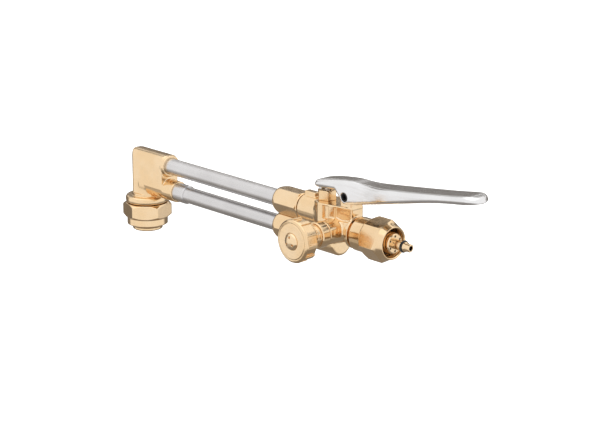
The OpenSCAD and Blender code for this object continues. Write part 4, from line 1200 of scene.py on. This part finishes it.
@dataclass
class Knob(Assembly):
    """The preheat knob with its cap, and the packing nut behind it."""

    body: str = "knob"
    radius: float = 11.9
    flutes: int = 10
    flute_w: float = 4.8
    flute_deep: float = 1.6
    turn_deg: float = 11.0
    hub: float = 4.8
    stem: float = 2.05
    cap: float = 4.6
    dimple: float = 0.6
    dimple_out: float = 2.6
    nut: float = 7.2
    nut_front: float = 15.4

    def build(self) -> None:
        """Builds the knob, its cap and the packing nut."""
        low, high = span("knob")
        x = centre("packing_nut")[0]
        at = (x, 0)
        d0, d1 = -high[1], -low[1]
        r = self.radius
        knob = lathe(Axis.OUT, at, [
            (d0, 0), (d0, self.hub - 0.4), (d0 + 0.8, self.hub), (d0 + 0.8, r - 1), (d0 + 1.4, r - 0.4),
            (d0 + 2, r - 0.2),
            (d1 - 1.8, r), (d1 - 0.8, r - 0.4), (d1 - 0.2, r - 1.2), (d1, r - 2.2), (d1, 0)], 0.35)
        for k in range(self.flutes):
            a = math.radians(360 * k / self.flutes - self.turn_deg)
            knob = knob.cut(self.flute(x, d0, d1, a), 0.3)
        groove = rod(Axis.OUT, at, r - 1.75, d1 - 0.3, d1 + 3)
        groove = groove.cut(rod(Axis.OUT, at, r - 2.25, d1 - 1, d1 + 4))
        knob = knob.cut(groove, 0.12)
        knob = knob.cut(rod(Axis.OUT, at, self.stem, d0 - 3, d1 - 2.45), 0.15)
        knob = knob.cut(rod(Axis.OUT, at, self.cap, d1 - 1, d1 + 3), 0.12)
        finish = turned_brass("brass_knob", Grain.TURNED_OUT, (x * MM, 0.0))
        self.place(self.carve("knob_turned", knob, low, high, 0.24), finish, "knob")
        self.build_cap(x, d1, finish)
        self.build_packing_nut(x)

    def flute(self, x: float, d0: float, d1: float, angle: float) -> Solid:
        """One flute in the knob's rim, at an angle in radians."""
        cutter = block((self.radius - self.flute_deep, -d1 + 1.6, -self.flute_w / 2),
                       (self.radius + 3, 3 - d0, self.flute_w / 2), 0.3)
        c, s = math.cos(angle), math.sin(angle)

        def distance(p: np.ndarray) -> np.ndarray:
            u, v = p[:, 0] - x, p[:, 2]
            return cutter.distance(np.stack([u * c - v * s, p[:, 1], u * s + v * c], 1))

        return Solid(distance)

    def build_cap(self, x: float, face: float, finish: Finish) -> None:
        """Builds the domed cap, with three spanner dimples."""
        low, high = span("knob_cap")
        tip = -low[1]
        at = (x, 0)
        rise = tip - face
        dome = [(face - 1, 0), (face - 1, self.cap - 0.02), (face + 0.15, self.cap - 0.02)]
        dome += [(face + 0.15 + (rise - 0.15) * math.sin(a), (self.cap - 0.2) * math.cos(a))
                 for a in (math.radians(9 * i) for i in range(1, 10))]
        cap = lathe(Axis.OUT, at, dome + [(tip, 0)], 0.15)
        for k in range(3):
            a = math.radians(120 * k + 30)
            spot = (x + self.dimple_out * math.cos(a), -self.dimple_out * math.sin(a))
            cap = cap.cut(rod(Axis.OUT, spot, self.dimple, face + 0.3, tip + 2, 0.1), 0.15)
        self.place(self.carve("knob_cap_domed", cap, low, high, 0.14), finish, "knob_cap")

    def build_packing_nut(self, x: float) -> None:
        """Builds the packing nut, a round nut with a grooved front."""
        low, high = span("packing_nut")
        d0, d1, r, screw = self.nut_front, -low[1], self.nut, 4.6
        loop = [(-high[1], self.stem), (-high[1], screw), (d0, screw), (d0, r - 0.5), (d0 + 0.5, r),
                (d0 + 5, r),
                (d0 + 5.5, r - 0.5), (d0 + 5.5, r - 1.4), (d0 + 7.4, r - 1.4), (d0 + 7.6, r - 1.75),
                (d0 + 8.1, r - 1.75), (d0 + 8.3, r - 1.4), (d1 - 1, r - 1.4), (d1, r - 2.4), (d1, self.stem)]
        piece = self.turn("packing_nut_turned", Axis.OUT, (x, 0), loop, 0.25)
        self.place(piece, turned_brass("brass_packing_nut", Grain.TURNED_OUT, (x * MM, 0.0)), "packing_nut",
                   body="valve_body")


@dataclass
class Coupling(Assembly):
    """The coupling nut, cone end, nipple and O-rings."""

    flats: float = 20.6
    hex_len: float = 13.5
    front: float = 9.3
    collar: float = 10.0
    collar_len: float = 3.5
    bore: float = 7.7
    neck: float = 6.95
    turn_deg: float = 11.0
    pitch: float = 1.4
    thread_deep: float = 0.45
    cone: float = 5.58
    cone_rim: float = 6.9
    cone_bore: float = 2.3
    fuel: float = 0.55
    fuel_out: float = 4.0
    nipple: float = 2.7
    nipple_bore: float = 1.3
    nipple_tip: float = 2.2

    def build(self) -> None:
        """Builds the nut, the cone end, the nipple and the O-rings."""
        self.build_nut()
        self.build_cone()
        self.build_nipple()
        for name, shown in (("nipple_oring", "nipple_oring_cord"), ("cone_oring", "cone_oring_cord")):
            low, high = span(name)
            x, cord = (low[0] + high[0]) / 2, (high[0] - low[0]) / 2
            loop = [(x + cord * math.cos(a), high[2] - cord + cord * math.sin(a))
                    for a in (2 * math.pi * k / 20 for k in range(20))]
            self.place(self.turn(shown, Axis.X, (0, 0), loop, 0.0), RUBBER, name)

    def build_nut(self) -> None:
        """Builds the coupling nut, with a real thread inside."""
        low, high = span("coupling_nut")
        ring_low, ring_high = span("nut_ring")
        x0, hex0 = low[0], -self.hex_len - self.collar_len
        corner = self.flats / math.sqrt(3)
        at = (0.0, 0.0)
        chamfer = lathe(Axis.X, at, [
            (hex0, 0), (hex0, self.front), (hex0 + 2.6, corner + 0.3), (-self.collar_len - 1.8, corner + 0.3),
            (-self.collar_len, self.flats / 2 - 0.4), (-self.collar_len, 0)], 0.4)
        nut = hexagon(Axis.X, at, self.flats, self.turn_deg, 0.4).keep(chamfer, 0.35)
        nut = nut.join(lathe(Axis.X, at, [
            (x0, 0), (x0, self.front - 1), (x0 + 1, self.front), (hex0 + 1, self.front),
            (hex0 + 1, self.collar), (-self.collar_len, self.collar), (-0.6, self.collar - 0.9),
            (0, self.collar - 1.3), (0, 0)], 0.4), 0.25)
        lip = ring_low[0] - 1
        nut = nut.cut(rod(Axis.X, at, self.neck, x0 - 3, lip + 1), 0.3)
        ring_r = (ring_high[2] - ring_low[2]) / 2 + 0.06
        nut = nut.cut(rod(Axis.X, at, ring_r, ring_low[0] - 0.1, ring_high[0] + 0.1))
        nut = nut.cut(self.thread(lip), 0.3)
        piece = self.carve("coupling_nut_turned", nut, low, high, 0.27)
        finish = turned_brass("brass_coupling", Grain.TURNED_X)
        self.place(piece, finish, "coupling_nut", body="coupling_nut")

    def thread(self, lip: float) -> Solid:
        """The threaded room inside the nut, from its lip to the open end."""

        def distance(p: np.ndarray) -> np.ndarray:
            round_it = np.arctan2(p[:, 2], p[:, 1]) / (2 * math.pi)
            phase = (p[:, 0] / self.pitch - round_it) % 1.0
            ridge = np.abs(phase - 0.5) * 2
            fade = np.clip((p[:, 0] - lip - 3) / 2, 0, 1) * np.clip((-0.4 - p[:, 0]) / 0.8, 0, 1)
            wall = self.bore + self.thread_deep * ridge * fade + np.clip(p[:, 0] + 0.7, 0, 0.8)
            side = (np.hypot(p[:, 1], p[:, 2]) - wall) * 0.75
            return np.maximum(side, lip - p[:, 0])

        return Solid(distance)

    def build_cone(self) -> None:
        """Builds the cone end, with its ring of fuel holes and O-ring groove."""
        low, high = span("cone_end")
        at = (0.0, 0.0)
        x0, x1 = low[0], high[0]
        neck, groove = x1 - 11, span("cone_oring")
        cone = lathe(Axis.X, at, [(x0, 0), (x0, self.cone), (neck, self.cone), (neck, self.cone_rim),
                                  (neck + 2.4, self.cone_rim), (x1 - 0.5, 5.4), (x1, 4.9), (x1, 0)], 0.2)
        ring = rod(Axis.X, at, 9, groove[0][0] - 0.15, groove[1][0] + 0.15)
        ring = ring.cut(rod(Axis.X, at, 5.2, -20, 5))
        cone = cone.cut(ring, 0.12)
        for k in range(6):
            a = math.radians(60 * k)
            spot = (-self.fuel_out * math.sin(a), self.fuel_out * math.cos(a))
            cone = cone.cut(rod(Axis.X, spot, self.fuel, x1 - 5, x1 + 2), 0.1)
        cone = cone.cut(rod(Axis.X, at, self.cone_bore, x0 - 3, x1 + 3), 0.1)
        finish = turned_brass("brass_cone", Grain.TURNED_X)
        self.place(self.carve("cone_turned", cone, low, high, 0.18), finish, "cone_end")

    def build_nipple(self) -> None:
        """Builds the oxygen nipple, hollow from end to end."""
        low, high = span("nipple")
        x0, x1 = low[0], high[0]
        g0, g1 = span("nipple_oring")[0][0] - 0.15, span("nipple_oring")[1][0] + 0.15
        bore, out, tip, low_r = self.nipple_bore, self.nipple, self.nipple_tip, 1.8
        loop = [(x0, bore), (x0, self.cone_bore), (1.0, self.cone_bore), (1.0, out), (g0, out), (g0, low_r),
                (g1, low_r), (g1, out), (x1 - 3.5, out), (x1 - 3, tip), (x1 - 0.4, tip),
                (x1, low_r), (x1, bore)]
        piece = self.turn("nipple_turned", Axis.X, (0, 0), loop, 0.12)
        self.place(piece, turned_brass("brass_nipple", Grain.TURNED_X), "nipple")


# ---------------------------------------------------------------- studio


@dataclass(frozen=True)
class Studio:
    """Camera, soft light and floor."""

    camera_at: tuple[float, float, float] = (0.67462, -0.68558, 0.29096)
    looks_along: tuple[float, float, float] = (-0.70833, 0.64994, -0.27540)
    lens: float = 115.3
    floor_z: float = -0.16
    light: float = 1.02

    def build(self) -> None:
        """Sets the camera, the light and the floor."""
        scene = bpy.context.scene
        camera = bpy.data.cameras.new("camera")
        camera.lens, camera.sensor_width = self.lens, 36.0
        camera.clip_start, camera.clip_end = 0.01, 20.0
        holder = bpy.data.objects.new("camera", camera)
        holder.location = self.camera_at
        holder.rotation_euler = Vector(self.looks_along).to_track_quat("-Z", "Y").to_euler()
        scene.collection.objects.link(holder)
        scene.camera = holder
        scene.view_settings.view_transform = "Standard"
        self.build_floor()
        self.build_light()

    def build_floor(self) -> None:
        """A wide pale floor with a faint grain."""
        size = 6.0
        corners = [(-size, -size, 0), (size, -size, 0), (size, size, 0), (-size, size, 0)]
        floor = make_object("floor", np.array(corners) / MM, [(0, 1, 2, 3)], shift=(0, 0, self.floor_z / MM))
        made = bpy.data.materials.new("floor_paper")
        made.use_nodes = True
        n = Nodes(made.node_tree)
        tone = n.mix(n.noise(n.place(), 6.0), (0.90, 0.90, 0.90, 1.0), (0.93, 0.93, 0.925, 1.0))
        shader = n.add("ShaderNodeBsdfPrincipled", {}, {
            "Base Color": tone, "Roughness": 0.9, "Emission Color": (1.0, 1.0, 1.0, 1.0),
            "Emission Strength": 0.5})
        n.add("ShaderNodeOutputMaterial", {}, {"Surface": shader})
        floor.data.materials.append(made)
        floor.visible_glossy = False
        floor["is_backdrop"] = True

    def build_light(self) -> None:
        """A white tent: open above, greyer on the camera's side and low behind."""
        world = bpy.data.worlds.new("tent")
        bpy.context.scene.world = world
        world.use_nodes = True
        n = Nodes(world.node_tree)
        where = n.add("ShaderNodeTexCoord", out="Generated")
        apart = n.add("ShaderNodeSeparateXYZ", {}, {0: where})
        x, y, z = (Value(n, apart.socket.node.outputs[i]) for i in range(3))
        front = x * 0.736 - y * 0.676
        behind = n.between(front, -0.25, -0.5)
        low = behind * n.between(z, 0.35, 0.29) * n.between(z, -0.6, -0.3)
        middle = behind * n.between(z, 0.29, 0.35) * n.between(z, 0.48, 0.44)
        high = n.between(front, -0.5, -0.7) * n.between(z, 0.44, 0.48) * n.between(z, 0.62, 0.56)
        seam = n.between(z, -0.56, -0.48) * n.between(z, -0.3, -0.4) * n.between(front, 0.5, 0.2)
        under = n.between(z, -0.46, -0.6)
        grey = 1 - low * 0.78
        for zone, dark in ((middle, 0.1), (high, 0.82), (seam, 0.5), (under, 0.72)):
            grey = grey * (1 - zone * dark)
        grey = grey + n.between(z, 0.68, 0.82) * 0.3
        tint = n.mix(grey, (1.0, 0.9, 0.8, 1.0), (1.0, 0.99, 0.98, 1.0))
        shade = n.add("ShaderNodeBackground", {}, {"Color": tint, "Strength": grey * self.light})
        n.add("ShaderNodeOutputWorld", {}, {"Surface": shade})


def dress_inner_pieces() -> None:
    """Gives the CAD nodes that stay their finishes."""
    chosen = {"upper_olive": turned_brass("brass_olive_upper", Grain.TURNED_X, (0.0, 0.00636)),
              "lower_olive": turned_brass("brass_olive_lower", Grain.TURNED_X, (0.0, -0.00805)),
              "mixer": turned_brass("brass_mixer", Grain.TURNED_X, (0.0, -0.00805)),
              "cutting_spring": SPRING, "nut_ring": SPRING, "seat_disc": RUBBER, "stem_oring": RUBBER,
              "packing": PACKING, "needle_stem": STAINLESS}
    for name, finish in chosen.items():
        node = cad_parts[name]
        node.data.materials.clear()
        node.data.materials.append(finish.material())
        log.info("%s: CAD shape, %s", name, finish.name)


def main() -> None:
    """Builds the studio, then each sub-assembly in turn."""
    logging.basicConfig(level=logging.INFO, format="%(message)s")
    Studio().build()
    for part in (Head(), Tubes(), Valve(), Lever(), Knob(), Coupling()):
        log.info("building %s", type(part).__name__)
        part.build()
    dress_inner_pieces()
    boxes = {"cad": cad_bounds, "visual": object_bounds()}
    sizes = {name: [list(map(float, corner)) for corner in box] for name, box in boxes.items()}


if __name__ == "__main__":
    main()
